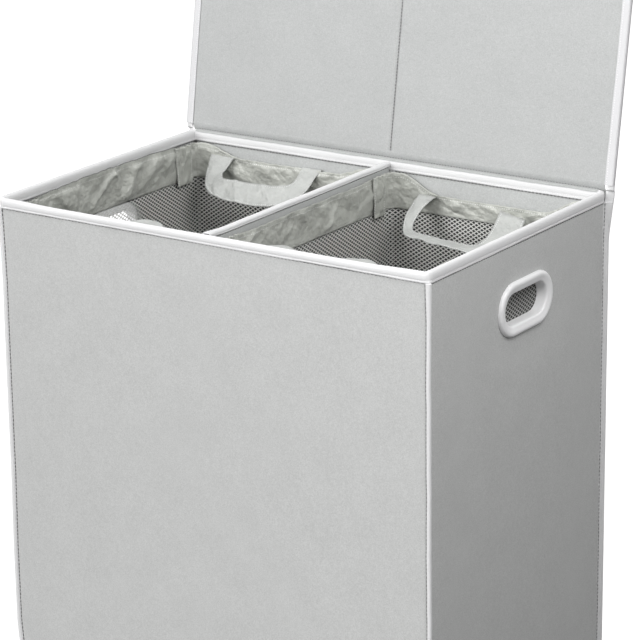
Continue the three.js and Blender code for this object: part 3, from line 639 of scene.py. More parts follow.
# Grip rings: from the hole's edge outwards, and out of the cover's face
RING_PROFILES = {
    "grip_ring": [
        (0, -10.5), (0.0, -2), (0.1, 1.2), (0.7, 2.6), (1.9, 3.3), (3.4, 3.6), (5.2, 4.1), (7.2, 4.8),
        (9.0, 5.0), (10.8, 4.7), (12.2, 3.8), (13.1, 2.2), (13.3, 0.4), (12.6, 0.05), (7, 0.05), (1.6, 0.0),
        (1.4, -10.5)],
    "grip_back_ring": [
        (0.1, -10.9), (0.1, -8.1), (1.8, -7.6), (6, -7.3), (9.2, -7.0), (10, -6.3), (9.9, -5.6), (1.8, -5.5),
        (1.7, -8.0)],
}


def stadium(half_length, half_height, count=24):
    """Once round an oval hole: centre line and outward way, in the panel's plane."""
    reach = half_length - half_height
    angles = np.radians(np.concatenate([np.linspace(-90, 90, count), np.linspace(90, 270, count)]))
    centre = np.repeat([[reach, 0.0], [-reach, 0.0]], count, 0)
    return centre, np.stack([np.cos(angles), np.sin(angles)], 1)


def grip_rings(wall, side):
    """The two moulded rings of one wall's grip, which clamp it from outside and inside."""
    along, out, _, half_out = WALLS[wall]
    along, out, up = np.append(along, 0), np.append(out, 0), np.array([0, 0, 1.0])
    origin = along * side * GRIP_PLACE[0] + up * GRIP_PLACE[1] + out * (half_out - COVER_DEPTH)
    radius = GRIP_HOLE[1] / 2
    centre, way = stadium(GRIP_HOLE[0] / 2, radius)
    hole_edge = so_far(*(centre + way * radius).T)
    for part, profile in RING_PROFILES.items():
        outwards, proud = np.array(profile, float).T
        plan = centre[:, None] + way[:, None] * (radius + outwards[None, :, None])
        grid = origin + plan[..., :1] * along + plan[..., 1:] * up + proud[None, :, None] * out
        ring = tube(f"{wall}_{part}_moulding", grid, hole_edge, so_far(outwards, proud), PLASTIC,
                    wrap_rows=True)
        declare(ring, "hamper", [f"{wall}_{part}"])


for wall, side in (("left", -1), ("right", 1)):
    grip_rings(wall, side)

# Divider: a cloth folded over its board, tape along its top and a flange at each end
DIVIDER_REACH = DEPTH / 2 - RIM_INSIDE - 0.6
DIVIDER_HALF, DIVIDER_SHOULDER, DIVIDER_CLOTH_THICK = 2.6, 604, 0.6
DIVIDER_CROWN = [(-1.6, 605.6), (0, 606), (1.6, 605.6)]
DIVIDER_TAPE_HALF = [(2.9, -5.6), (3.7, -5.9), (4.2, -5.2), (3.9, -4.3), (4.3, -3.4), (4.35, -2.4),
                     (4.0, -1.2), (2.6, -0.2)]
DIVIDER_TAPE_MIDDLE, DIVIDER_TAPE_INSIDE = [(0, 0.1)], [(-2.8, -1.6), (2.8, -1.6)]
DIVIDER_TAPE_WIDE, DIVIDER_CREASE_SHADE_OUT, DIVIDER_CREASE_SHADE_DROP = 20, 2.9, 6.6
# How far from the front the tape widens, and how far from it the tape rises
DIVIDER_TAPE_WIDENS, DIVIDER_TAPE_RISES = 22, 30


def mirrored(points):
    return [(-a, b) for a, b in points[::-1]]


def divider_cloth():
    y = stations(-DIVIDER_REACH, DIVIDER_REACH, 6)
    side = [(DIVIDER_HALF, v) for v in stations(DIVIDER_SHOULDER, DIVIDER_BOTTOM, 8)]
    x, z = np.array(mirrored(side) + DIVIDER_CROWN + side).T
    swell = np.sign(x) * 0.25 * (1 + ripple(71, 8, 40, 200)(y[:, None], z * 0.9)) * (z < 590)
    outer = points_at(x + swell, y[:, None], z)
    inner = points_at(x * 0.75, y[:, None], z - DIVIDER_CLOTH_THICK * (z > DIVIDER_SHOULDER + 0.5))
    cloth = slab("divider_cloth", outer, inner, y, so_far(x, z), LIT_WALL_LINING)
    declare(cloth, "hamper", ["divider_cover"])


def divider_tape():
    """Wider and higher where it runs out over the front rim."""
    y = stations(-DIVIDER_REACH, DIVIDER_REACH, 6)
    across, drop = np.array(DIVIDER_TAPE_HALF + DIVIDER_TAPE_MIDDLE + mirrored(DIVIDER_TAPE_HALF)
                            + DIVIDER_TAPE_INSIDE).T
    wider, higher = (smooth(-y, DIVIDER_REACH - room, DIVIDER_REACH)[:, None]
                     for room in (DIVIDER_TAPE_WIDENS, DIVIDER_TAPE_RISES))
    heights = DIVIDER_TOP + drop + 1.2 * higher + 0.25 * ripple(72, 8, 25, 160)(y, 0)[:, None]
    grid = points_at(across * (1 + 0.35 * wider), y[:, None], heights)
    tape = tube("divider_tape", grid, y, so_far(across, drop), TAPE)
    for label, side, point in (("right", 1, 3), ("left", -1, 13)):
        thread_and_shade_beads(f"divider_tape_{label}_stitches", "hamper", "white_tape", grid[:, point],
                                (side, 0, 0), THREAD)
    # Painted shade: a dark line down each side of the tape
    for label, side in (("right", 1), ("left", -1)):
        row = points_at(side * DIVIDER_CREASE_SHADE_OUT, y, DIVIDER_TOP - DIVIDER_CREASE_SHADE_DROP)
        thread_and_shade_beads(f"divider_tape_{label}_crease", "hamper", "white_tape", row, (side, 0, 0),
                                PAINTED_CREASE_SHADE, **FOLD_SHADE_LINE, width=1.8, height=0.4)
    declare(tape, "hamper", ["divider_binding"])


def divider_flange(name, sign):
    lo, hi = box_of(f"divider_{name}_flange")
    x, z = stations(lo[0], hi[0], 3), stations(lo[2], hi[2], 8)
    puff = sign * 0.25 * np.clip(1 - (x / hi[0]) ** 2, 0, 1)
    near, far = (lo[1], hi[1]) if sign > 0 else (hi[1], lo[1])
    flange = slab(f"divider_{name}_flange_cloth", points_at(x, far, z[:, None]),
                  points_at(x, near - puff, z[:, None]), z, x, LIT_WALL_LINING)
    declare(flange, "hamper", [f"divider_{name}_flange"])


divider_cloth()
divider_tape()
for name, sign in (("front", -1), ("back", 1)):
    divider_flange(name, sign)


# Lid: its lining faces forwards where it leans back open
def lid_point(x, s, t):
    """From the lid's own plane, closed: across, away from the hinge and up, to where it stands open."""
    return points_at(x, HINGE_Y + s * math.sin(LID_LEAN) + t * math.cos(LID_LEAN),
                     HINGE_Z + s * math.cos(LID_LEAN) - t * math.sin(LID_LEAN))


LID_FACE, LID_CORNER, LID_START = -4.2, 14.0, 0.6
LID_CLOTH_START, LID_CLOTH_ROOM, LID_TAPE_WIDE = 1.2, 1.5, 31
LID_SEAM_HALF, LID_SEAM_RISE, LID_SEAM_END = 9, 0.85, LID_LENGTH - 8
LID_OUT = lid_point(0, 0, -1) - lid_point(0, 0, 0)
# Tape round three sides of the lid: inwards from the lid's edge, and up
LID_TAPE_PROFILE = [
    (11.0, -4.9), (11.2, -5.3), (10.2, -5.5), (9.0, -5.2), (7.8, -5.5), (5, -5.8), (2, -5.5), (0.5, -4.4),
    (0, -2.1), (0.5, 0.2), (2, 1.1), (5, 1.4), (8.2, 1.2), (9.7, 0.8), (11.2, 1.2), (12.4, 1.0),
    (12.2, 0.6), (2, 0.5), (1.2, -0.5), (1.2, -3.8), (2, -4.7),
]
HINGE_BEND = ("lid", (0, HINGE_Y, HINGE_Z - 5), (0, HINGE_Y, HINGE_Z + 3))
HINGE_CLOTH_HALF, RIM_EDGE_HALF = 302.6, WIDTH / 2 - 10
# Out from the back wall and up, from the rim: the hinge cloth as it leaves the wall, and the edge cloth
HINGE_CLOTH_FOOT, HINGE_CLOTH_TURN = (-24, -6), [(0.7, -3), (0.2, -0.4), (-0.9, 1.2), (-1.7, 3.2)]
RIM_EDGE_PROFILE = [(-8.75, -1.4), (-8.3, -0.1), (-6.6, 0.35), (-4, 0.4), (-0.8, 0.3)]
RIM_SEAM_INSET, RIM_SEAM_RISE = 1.5, 0.3
# Up the hinge's end: height, the tape's inner and outer edge in plan, and its thickness
HINGE_CORNER_ROWS = [
    (586, 303.4, 194.6, 310.8, 200.0, 2.2), (594, 303.2, 194.4, 311.6, 200.4, 2.2),
    (602, 303.4, 194.4, 312.6, 200.8, 2.2), (608.4, 304.0, 194.6, 313.2, 200.8, 2.0),
    (609.6, 304.4, 195.6, 313.0, 200.0, 1.8), (611.0, 304.6, 196.2, 313.6, 198.6, 2.6),
    (614, 304.8, 196.8, 313.8, 198.2, 4.0), (619, 305.2, 198.0, 313.8, 198.2, 5.0),
]
HINGE_CREASE_SHADE = [(304.2, 194.6, 610.9), (309, 194.8, 610.7), (314.2, 196.8, 610.5)]


def lid_cloths():
    """The cover, and the lining with its stitched seam down the middle."""
    half = LID_HALF_WIDTH - LID_CLOTH_ROOM
    x = np.concatenate([stations(-half, half, 5), stations(-LID_SEAM_HALF, LID_SEAM_HALF, 0.75)])
    x, s = np.unique(x), stations(LID_CLOTH_START, LID_LENGTH - LID_CLOTH_ROOM, 5)
    grid_s, grid_x = np.meshgrid(s, x, indexing="ij")
    pucker = 0.45 * np.exp(-(grid_x / 14) ** 2) * (1 + 0.7 * ripple(81, 10, 9, 40)(0, grid_s))
    edge = smooth(LID_HALF_WIDTH - np.abs(grid_x), 0, 26) * smooth(grid_s, 0, 20)
    puff = edge * (0.5 + 0.25 * ripple(82, 12, 60, 300)(grid_x, grid_s))
    face = LID_FACE + 1.5 * np.exp(-(grid_x / 2.2) ** 2) + pucker - puff
    back = edge * (0.4 + 0.2 * ripple(83, 12, 60, 300)(grid_x, grid_s))
    lining = slab("lid_lining_cloth", *(lid_point(grid_x, grid_s, face + v) for v in (0.6, 0)), s, x,
                  LINING, sharp=60)
    # The seam's beads are in the dark crease colour: thread and painted shade along the seam
    seam_row = lid_point(0, stations(1.5, LID_SEAM_END, 10), LID_FACE + LID_SEAM_RISE)
    seam = thread_and_shade_beads("lid_seam_stitches", "lid", "lining_cloth", seam_row, LID_OUT, PAINTED_CREASE_SHADE, **SEAM_SHADE_LINE,
                    width=1.5)
    cover = slab("lid_cover_cloth", *(lid_point(grid_x, grid_s, back + v) for v in (0.3, -0.3)), s, x, GREY)
    for cloth, slot, node, threads_and_shade_lines in ((lining, "lining_cloth", "lid_lining", [seam]),
                                       (cover, "grey_cloth", "lid_cover", [])):
        declare(cloth, "lid", [node])


def lid_tape():
    side_x, end_s = LID_HALF_WIDTH - LID_CORNER, LID_LENGTH - LID_CORNER
    turn = np.linspace(0, 90, 9)
    rows = [(side_x, v, 0) for v in stations(LID_START, end_s, 6)]
    rows += [(side_x, end_s, v) for v in turn]
    rows += [(v, end_s, 90) for v in stations(side_x, -side_x, 6)[1:-1]]
    rows += [(-side_x, end_s, v) for v in 90 + turn]
    rows += [(-side_x, v, 180) for v in stations(end_s, LID_START, 6)[1:]]
    x, s, angle = np.array(rows).T[..., None]
    way_x, way_s = np.cos(np.radians(angle)), np.sin(np.radians(angle))
    length = so_far((x + way_x * LID_CORNER)[:, 0], (s + way_s * LID_CORNER)[:, 0])
    inset, t = np.array(LID_TAPE_PROFILE).T
    reach = LID_CORNER - inset - 0.35 * ripple(84, 9, 25, 160)(length, 0)[:, None] * (inset > 8)
    grid = lid_point(x + way_x * reach, s + way_s * reach, t)
    tape = tube("lid_tape", grid, length, so_far(inset, t), LID_TAPE_PAINTED_DARKER)
    thread = thread_and_shade_beads("lid_tape_stitches", "lid", "white_tape", grid[:, 3], LID_OUT, THREAD)
    declare(tape, "lid", ["lid_binding"])


def hinge_cloth():
    """The lining's own lower edge, sewn down behind the rim."""
    x = stations(-HINGE_CLOTH_HALF, HINGE_CLOTH_HALF, 6)
    down = [(0.75, v) for v in stations(*HINGE_CLOTH_FOOT, 3)]
    up = lid_point(0, stations(1, 3.4, 1.2), LID_FACE - 0.3)[:, 1:]
    y, z = np.vstack([np.array(down + HINGE_CLOTH_TURN) + (DEPTH / 2, HEIGHT), up]).T
    length = so_far(y, z)
    grid = points_at(x, y[:, None] + 0.1 * ripple(85, 8, 30, 200)(x, length[:, None]), z[:, None])
    declare(sheet_of("lid_hinge_cloth", grid, 0.4, length, x, LINING, sharp=60), "hamper",
            ["lid_hinge_strip"],
            bend=HINGE_BEND)


def rim_edge_cloth():
    """A grey cloth edge laid over the back rim, painted darker as shade, and the seam that holds the lining
    to it, drawn as a dark line of thread and painted shade.
    """
    x = stations(-RIM_EDGE_HALF, RIM_EDGE_HALF, 6)
    y, z = (np.array(RIM_EDGE_PROFILE) + (DEPTH / 2, HEIGHT)).T
    length = so_far(y, z)
    wander = ripple(86, 8, 25, 150)(x, 0)
    grid = points_at(x, y[:, None], z[:, None] + 0.4 * wander * (z[:, None] < HEIGHT - 1))
    seam_row = points_at(x, DEPTH / 2 - RIM_SEAM_INSET, HEIGHT + RIM_SEAM_RISE)
    seam = thread_and_shade_beads("lid_foot_stitches", "hamper", "grey_cloth", seam_row, (0, -1, 0.6), PAINTED_CREASE_SHADE, **SEAM_SHADE_LINE,
                    width=2.2, height=0.35)
    declare(sheet_of("back_rim_edge_cloth", grid, 0.4, length, x, SHADED_EDGE_CLOTH, sharp=60), "hamper")


def hinge_corner(label, side):
    """Tape at one end of the hinge: the lid's side tape runs on into the corner tape."""
    rows = np.array(HINGE_CORNER_ROWS)
    inner, outer, thick = rows[:, None, 1:3], rows[:, None, 3:5], rows[:, None, 5:]
    span = outer - inner
    normal = unit(span[..., ::-1] * (1, -1))
    angles = np.radians(np.arange(16) * 22.5)
    along, off = (np.copysign(np.abs(v) ** power, v)[:, None]
                  for v, power in ((np.cos(angles), 0.5), (np.sin(angles), 0.8)))
    plan = (inner + outer) / 2 + span * along / 2 + normal * off * thick / 2
    grid = raise_to(plan * (side, 1), rows[:, :1])
    if side > 0:
        grid = grid[:, ::-1]
    # Painted shade: a dark line where the lid's tape meets the corner tape
    thread_and_shade_beads(f"{label}_hinge_corner_crease", "hamper", "white_tape", np.array(HINGE_CREASE_SHADE) * (side, 1, 1),
             (0, -1, 0.3), PAINTED_CREASE_SHADE, pitch=2, length=2.4, width=1.3, height=0.8)
    tape = tube(f"{label}_hinge_corner_tape", grid, rows[:, 0], so_far(*grid[0].T), TAPE, sharp=60)
    declare(tape, "hamper",
            bend=HINGE_BEND)


lid_cloths()
lid_tape()
hinge_cloth()
rim_edge_cloth()
for label, side in (("left", -1), ("right", 1)):
    hinge_corner(label, side)


# Bottom of the box
def base_cloth():
    lo, hi = box_of("base_cloth")
    x, y = stations(lo[0], hi[0], 10), stations(lo[1], hi[1], 10)
    cloth = slab("base_cloth_sheet", *(points_at(x, y[:, None], v) for v in (hi[2], lo[2])), y, x, GREY)
    declare(cloth, "hamper", ["base_cloth"])


base_cloth()

# Bags: a satin band, a net with a dark sheet of painted shade behind it, a bottom, corner tabs and two
# handles
BAND_CLOTH, BAND_FREE = 46, 44
BAND_ROWS, HEM_ROW, FOOT_ROW = 24, 20, 2
BAND_PUSH, BAND_PUSH_LEAST, BAND_PUSH_MOST = 1.2, -0.3, 8.5
END_DROOP, RIGHT_BACK_DROOP, OUTER_DROOP, INNER_DROOP = 14.0, 22.0, -4.6, 2.0
NET_PITCH, NET_RISE, NET_STRAND = 7.8, 5.2, 1.3
KNOT_X, KNOT_Z = 1.3, 0.9
NET_BULGE, BULGE_HALF_X, BULGE_HALF_Z = 3.2, 72, 34
PATCH_HALF_X, PATCH_HALF_Z, PATCH_BEHIND = 60, 34, 2.1
SHADE_SHEET_NEAR, SHADE_SHEET_FAR, SHADE_SHEET_GRIP_HALF_Z = 1.1, 1.5, 40
# A corner tab's edges against the CAD tab: in from each side, and out above and below
TAB_BY_DIVIDER, TAB_BY_WALL, TAB_BELOW, TAB_PLEATS = (4, 10), (0, 9), 6, 3.1


def bag_loop(step):
    """Once round a bag: corner line, outward way, length so far and whole length."""
    base, way, s = loop_path(BAG_HALF_X, BAG_HALF_Y, BAG_RADIUS, step)
    edge = base + way * BAG_RADIUS
    return base, way, s, s[-1] + math.dist(edge[-1], edge[0])


def band_droop(sign, way, base):
    """How far the band's top edge sinks below its corners."""
    ends, sides = (np.abs(way[:, k]) > 0.999 for k in (1, 0))
    span = np.where(ends, BAG_HALF_X, BAG_HALF_Y) - BAG_RADIUS
    from_corner = span - np.abs(np.where(ends, base[:, 0], base[:, 1]))
    deep = np.where((way[:, 1] > 0) & (sign > 0), RIGHT_BACK_DROOP, END_DROOP)
    side_deep = np.where(way[:, 0] * sign > 0.999, OUTER_DROOP, INNER_DROOP)
    return smooth(from_corner / (0.44 * span)) * np.where(ends, deep, np.where(sides, side_deep, 0.0))


def fold_field(seed, length, spacing, depth, narrow, wide, sharp=False):
    """Pulled folds along a cloth: ridges at random places, each with its own slant, width and depth."""
    rng = np.random.default_rng(seed)
    count = max(1, int(length / spacing))
    places = (np.arange(count) + rng.uniform(-0.4, 0.4, count)) * length / count
    slants = rng.normal(0, 0.9, count)
    widths = rng.uniform(narrow, wide, count)
    depths = rng.uniform(-0.7, 1, count) * depth
    starts = rng.uniform(-0.3, 0.3, count)

    def field(s, share, height):
        total = 0
        for place, slant, width, deep, start in zip(places, slants, widths, depths, starts):
            gap = s - place - slant * (share - 0.5) * height
            gap = (gap + length / 2) % length - length / 2
            ridge = np.exp(-np.abs(gap) / width) if sharp else np.exp(-(gap / width) ** 2)
            total = total + deep * ridge * smooth(share, start - 0.2, start + 0.5)
        return total
    return field


def bag_band(name, sign):
    base, way, s, length = bag_loop(2.5)
    share = np.linspace(0, 1, BAND_ROWS)
    grid_s, grid_v = np.broadcast_arrays(s, share[:, None])
    seed = 100 + (sign > 0)
    folds = [fold_field(seed, length, 42, 7.5, 9, 20),
             fold_field(seed + 4, length, 30, 6.5, 3.5, 8, sharp=True),
             fold_field(seed + 8, length, 15, 0.9, 2.5, 6)]
    fine = ripple(seed + 10, 16, 9, 45)
    push = sum(f(grid_s, grid_v, BAND_FREE) for f in folds) + 0.3 * fine(grid_s, grid_v * BAND_FREE)
    keep = smooth(grid_v, 0.0, 0.2) * (1 - 0.65 * smooth(grid_v, 0.82, 0.9))
    keep = keep * np.where(np.abs(way[:, 1]) > 0.5, 0.6, 1)
    pucker = ripple(seed + 12, 10, 5, 11)(grid_s, 0) * np.exp(-((grid_v - 0.86) / 0.08) ** 2)
    push = np.clip(BAND_PUSH + push * keep + 0.5 * pucker, BAND_PUSH_LEAST, BAND_PUSH_MOST)
    radius = BAG_RADIUS - 0.4 - push
    rise = BAND_TOP - band_droop(sign, way, base) - BAND_BOTTOM
    heights = BAND_BOTTOM + rise * grid_v + 0.5 * fine(grid_s * 1.4, 5.0) * (grid_v > 0.95)
    grid = raise_to(base + way * radius[..., None] + (sign * BAG_MIDDLE, 0), heights)
    band = sheet_of(f"{name}_band_cloth", grid, 0.5, share * BAND_CLOTH, s, SATIN, wrap_columns=True)
    out = raise_to(way, 0)
    # Painted shade: a dark line along the band's top edge, on the bag's outer side
    outer_side = way[:, 0] * sign > 0.999
    threads_and_shade_lines = [thread_and_shade_beads(f"{name}_band_edge_line", name, "satin", (grid[-1] - out * 0.4)[outer_side],
                        -out[outer_side], PAINTED_CREASE_SHADE, **SEAM_SHADE_LINE, width=1.7)]
    for label, row, look in (("hem", HEM_ROW, THREAD), ("foot", FOOT_ROW, SEAM_THREAD)):
        threads_and_shade_lines.append(thread_and_shade_beads(f"{name}_band_{label}_stitches", name, "satin", grid[row] - out * 0.3, -out,
                                look, pitch=3.2, closed=True))
    declare(band, name, [f"{name}_band"])


class Net:
    """One bag's net: the size of its diamonds, and where its corners and the grip lie along its loop."""

    def __init__(self, name, sign):
        base, way, s, self.length = bag_loop(4)
        self.name, self.sign = name, sign
        self.marks = np.append(s, self.length)
        self.table = np.concatenate([base, way], 1)
        self.table = np.vstack([self.table, self.table[:1]])
        self.sag = ripple(120 + (sign > 0), 10, 60, 260)
        self.around = int(round(self.length / NET_PITCH))
        self.levels = int((NET_TOP - NET_BOTTOM) / NET_RISE) * 2
        self.half = self.length / self.around / 2
        self.rise = (NET_TOP - NET_BOTTOM) / self.levels
        self.corners = [BAG_HALF_X - BAG_RADIUS + BAG_RADIUS * math.pi / 4]
        for side in (BAG_HALF_Y, BAG_HALF_X, BAG_HALF_Y):
            self.corners.append(self.corners[-1] + 2 * (side - BAG_RADIUS) + BAG_RADIUS * math.pi / 2)
        beside = self.corners[:2] if sign > 0 else self.corners[2:]
        self.grip = sum(beside) / 2 - sign * GRIP_PLACE[0]

    def place(self, u, h, behind=0.0):
        """Along the loop and up, to a point of the net or of the painted shade sheet behind it."""
        row = np.stack([np.interp(u % self.length, self.marks, column) for column in self.table.T], -1)
        taper = NET_TAPER * (1 - (h - NET_BOTTOM) / (NET_TOP - NET_BOTTOM))
        inwards = taper + 0.7 + (0.9 + 0.8 * self.sag(u, h)) * smooth(NET_TOP - h, 0, 60)
        inwards = inwards + NET_BULGE * np.exp(-((u - self.grip) / BULGE_HALF_X) ** 6
                                               - ((h - GRIP_PLACE[1]) / BULGE_HALF_Z) ** 6)
        plan = row[..., :2] + unit(row[..., 2:]) * (BAG_RADIUS - inwards + behind)[..., None]
        return raise_to(plan + (self.sign * BAG_MIDDLE, 0), h)

    def hang(self, obj):
        declare(obj, self.name, [f"{self.name}_net"])

    def strands(self, label, first, last):
        """One panel of diamond knit: flat strands with a knot where they cross."""
        i, j = np.meshgrid(np.arange(first, last), np.arange(self.levels + 1), indexing="ij")
        i, j = (v[(i + j) % 2 == 0].astype(float) for v in (i, j))
        knots = np.stack([i * self.half, NET_BOTTOM + j * self.rise], 1)
        slope = unit(np.array([self.half, self.rise]))
        quads = []
        for turn in (1, -1):
            a = knots[(j + turn >= 0) & (j + turn <= self.levels)]
            b = a + (self.half, turn * self.rise)
            side = np.array([-slope[1] * turn, slope[0]]) * NET_STRAND / 2
            quads.append(np.stack([a - side, b - side, b + side, a + side], 1))
        quads.append(knots[:, None] + np.array([(-KNOT_X, 0), (0, -KNOT_Z), (KNOT_X, 0), (0, KNOT_Z)]))
        quads = np.concatenate(quads)
        panel = loose_quads(f"{self.name}_net_{label}",
                            self.place(quads[..., 0], np.clip(quads[..., 1], NET_BOTTOM, NET_TOP)), NET)
        self.hang(panel)
        if label == "outer" and self.sign > 0:
            self.patch(quads)

    def patch(self, quads):
        """What shows through the grip: the same net again, in a darker colour of painted shade, on its outer
        side.
        """
        middle = quads.mean(axis=1) - (self.grip, GRIP_PLACE[1])
        near = quads[(np.abs(middle) < (PATCH_HALF_X, PATCH_HALF_Z)).all(axis=1)]
        back = loose_quads(f"{self.name}_net_back_face",
                           self.place(near[..., 0], near[..., 1], PATCH_BEHIND), SHADED_NET_COPY)
        declare(back, self.name)

    def shade_sheet(self, label, first, last):
        """A dark sheet of painted shade behind one panel, open where the left grip ring shows, with a paler
        outer side.
        """
        ring_shows = label == "inner" and self.sign < 0
        u = stations(first * self.half + 0.5, last * self.half - 0.5, 3.5 if ring_shows else 5)
        h = stations(NET_BOTTOM + 1, NET_TOP - 0.5, 20)
        kept = None
        if ring_shows:
            by_grip = GRIP_PLACE[1] + stations(-SHADE_SHEET_GRIP_HALF_Z, SHADE_SHEET_GRIP_HALF_Z, 4)
            h = np.unique(np.concatenate([h, by_grip]))
            kept = cells_past_hole(u, h, self.grip, HOLE_ROOM["net"])
        faces = (self.place(u, h[:, None], behind) for behind in (SHADE_SHEET_NEAR, SHADE_SHEET_FAR))
        sheet = slab(f"{self.name}_net_shade_sheet_{label}", *faces, h, u, PAINTED_SHADE_SHEET, mask=kept, sharp=0)
        sheet.data.materials.append(NET_OUTSIDE)
        # Outer faces take the paler grey, but the painted shade stays dark by the right bag's grip
        for face in sheet.data.polygons:
            x, y, z = face.center / MM
            by_grip = abs(y - GRIP_PLACE[0]) < PATCH_HALF_X and abs(z - GRIP_PLACE[1]) < SHADE_SHEET_GRIP_HALF_Z
            outside = face.normal.x * (x - self.sign * BAG_MIDDLE) + face.normal.y * y > 0
            face.material_index = int(outside and not (by_grip and self.sign > 0))
        self.hang(sheet)


def loose_quads(name, points, material):
    faces = np.arange(points.size // 3).reshape(-1, 4)
    return write_mesh(name, points.reshape(-1, 3), [faces], material, None, 0)


def bag_net(name, sign):
    """Four panels that meet at the corners."""
    net = Net(name, sign)
    cuts = [int(round(corner / net.half)) for corner in net.corners]
    cuts.append(cuts[0] + 2 * net.around)
    for label, first, last in zip(("outer", "front", "inner", "back"), cuts[:-1], cuts[1:]):
        net.strands(label, first, last)
        net.shade_sheet(label, first, last)


def bag_base(name, sign):
    lo, hi = box_of(f"{name}_base")
    x, y = stations(lo[0], hi[0], 8), stations(lo[1], hi[1], 8)
    grid_y, grid_x = np.meshgrid(y, x, indexing="ij")
    middle, half = (lo + hi) / 2, (hi - lo) / 2
    flat = [np.clip(1 - ((v - middle[k]) / half[k]) ** 6, 0, 1) for k, v in enumerate((grid_x, grid_y))]
    wander = ripple(130 + (sign > 0), 14, 25, 120)(grid_x, grid_y)
    bump = flat[0] * flat[1] * (0.9 + 0.8 * wander).clip(0, 2)
    faces = (points_at(grid_x, grid_y, lo[2] + v + bump) for v in (0.6, 0))
    sheet = slab(f"{name}_base_cloth", *faces, y, x, SATIN)
    declare(sheet, name, [f"{name}_base"])


def bag_tab(name, sign, end, label, side):
    """A pleated piece of satin stitched to the band at one corner, narrower beside the divider."""
    node = f"{name}_{end}_{label}_tab"
    lo, hi = box_of(node)
    inset, above = TAB_BY_DIVIDER if side * sign < 0 else TAB_BY_WALL
    y, z = stations(lo[1] + inset, hi[1] - inset, 1), stations(lo[2] - TAB_BELOW, hi[2] + above, 1.5)
    up_tab = ((z - z[0]) / (z[-1] - z[0]))[:, None]
    seed = 140 + 4 * (sign > 0) + 2 * (end == "back") + (side > 0)
    pleat = np.cos((y - y.mean()) / (y[-1] - y[0]) * TAB_PLEATS * math.tau) * smooth(up_tab, 0.35, 1)
    push = (4.2 + 0.8 * ripple(seed, 8, 5, 22)(y, z[:, None] * 0.3) + 2.2 * pleat).clip(0.6, 8)
    grid = points_at((lo[0] if side > 0 else hi[0]) - side * push,
                     y.mean() + (y - y.mean()) * (0.88 + 0.12 * up_tab), z[:, None])
    if side < 0:
        grid, y = grid[:, ::-1], y[::-1]
    tab = sheet_of(f"{node}_cloth", grid, 0.5, z, y, SATIN)
    lift = np.array([-side * 0.3, 0, 0])
    # The near and far lines are white stitches; the edge, side and foot lines are painted shade round the tab
    for mark, row, sewn in (("near", grid[:, 2], True), ("far", grid[:, -3], True),
                            ("edge", grid[:, 0], False), ("side", grid[:, -1], False),
                            ("foot", grid[0], False)):
        thread_and_shade_beads(f"{node}_{mark}_line", name, "satin", row + lift if sewn else row - lift,
                                (-side, 0, 0), THREAD if sewn else PAINTED_CREASE_SHADE, length=2.0 if sewn else 3.4)
    declare(tab, name, [node])


# Each handle's lean from straight down, then its rows from one seam to the other: where the inner edge lies
# across, away from the seam and above the leaning plane; the way to the outer edge, which is 0 to the left,
# 90 away and 180 to the right; how far the strap turns its outer edge up; and its width there
STRAPS = {
    ("left", "front"): (101, [
        (-58, 0, 0, 0, 0, 25), (-58, 16, 0, 4, 0, 25), (-56, 24, 0, 40, 0, 24), (-46, 27, 0, 80, 0, 20),
        (-24, 19, 0, 92, 0, 18), (4, 16, 0, 90, 0, 18), (28, 22, 0, 88, 0, 20), (46, 32, 0, 100, 0, 24),
        (57, 30, 0, 142, 0, 27), (60, 16, 0, 176, 0, 25), (60, 0, 0, 180, 0, 25)]),
    ("right", "front"): (98, [
        (-58, 0, 0, 0, 0, 25), (-58, 18, 0, 4, 0, 25), (-56, 29, 0, 40, 0, 26), (-46, 32, 0, 80, 0, 24),
        (-24, 26, 0, 92, 0, 20), (4, 24, 0, 90, 0, 20), (32, 28, 0, 88, 0, 22), (50, 33, 0, 100, 0, 25),
        (58, 30, 0, 142, 0, 27), (60, 18, 0, 176, 0, 25), (60, 0, 0, 180, 0, 25)]),
    ("left", "back"): (54, [
        (-54, -1, 1, 5, 8, 33.5), (-56, 8, 0, 0, 6, 31), (-57.5, 18, 0, 4, 5, 26.5), (-57, 28, 0, 24, 3, 23),
        (-48.5, 34.8, 3, 58, -6, 26.5), (-31, 36.6, 5.5, 82, -11, 29), (-6, 37, 6, 90, -12, 30.5),
        (25, 36, 6, 90, -12, 30.5), (44.7, 32.2, 5, 100, -10, 28.5), (51.2, 22.4, 2, 150, -4, 26),
        (51, 8, 0, 180, 0, 26), (52, -3, 1.5, 182, 0, 29)]),
    ("right", "back"): (60, [
        (-48, 4, -7, -4, 0, 24), (-46, 17, 0.6, -2, -4, 23), (-49, 32, 2.6, 2, -10, 21),
        (-50, 49, 2, 14, -4, 15), (-49, 61, 0, 34, 2, 12), (-43, 70, 0, 66, 14, 13), (-29, 73, 0, 84, 28, 18),
        (-8, 75, 0, 90, 35, 25), (13, 77, 0, 91, 34, 25), (44, 77, 0, 98, 26, 26), (56, 69, 2, 150, 0, 28),
        (58.4, 48.5, 4, 177.5, -10, 33.5), (54.3, 22.5, 3, 177.5, -8, 35.4), (43, 6, -10, 180, -20, 33)]),
}
# Two distances from the seam at a strap's sewn ends; its stitches start past the further one
SEAM_BEND = (7, 20)
STRAP_THICK, STRAP_TURN_IN = 1.1, 24


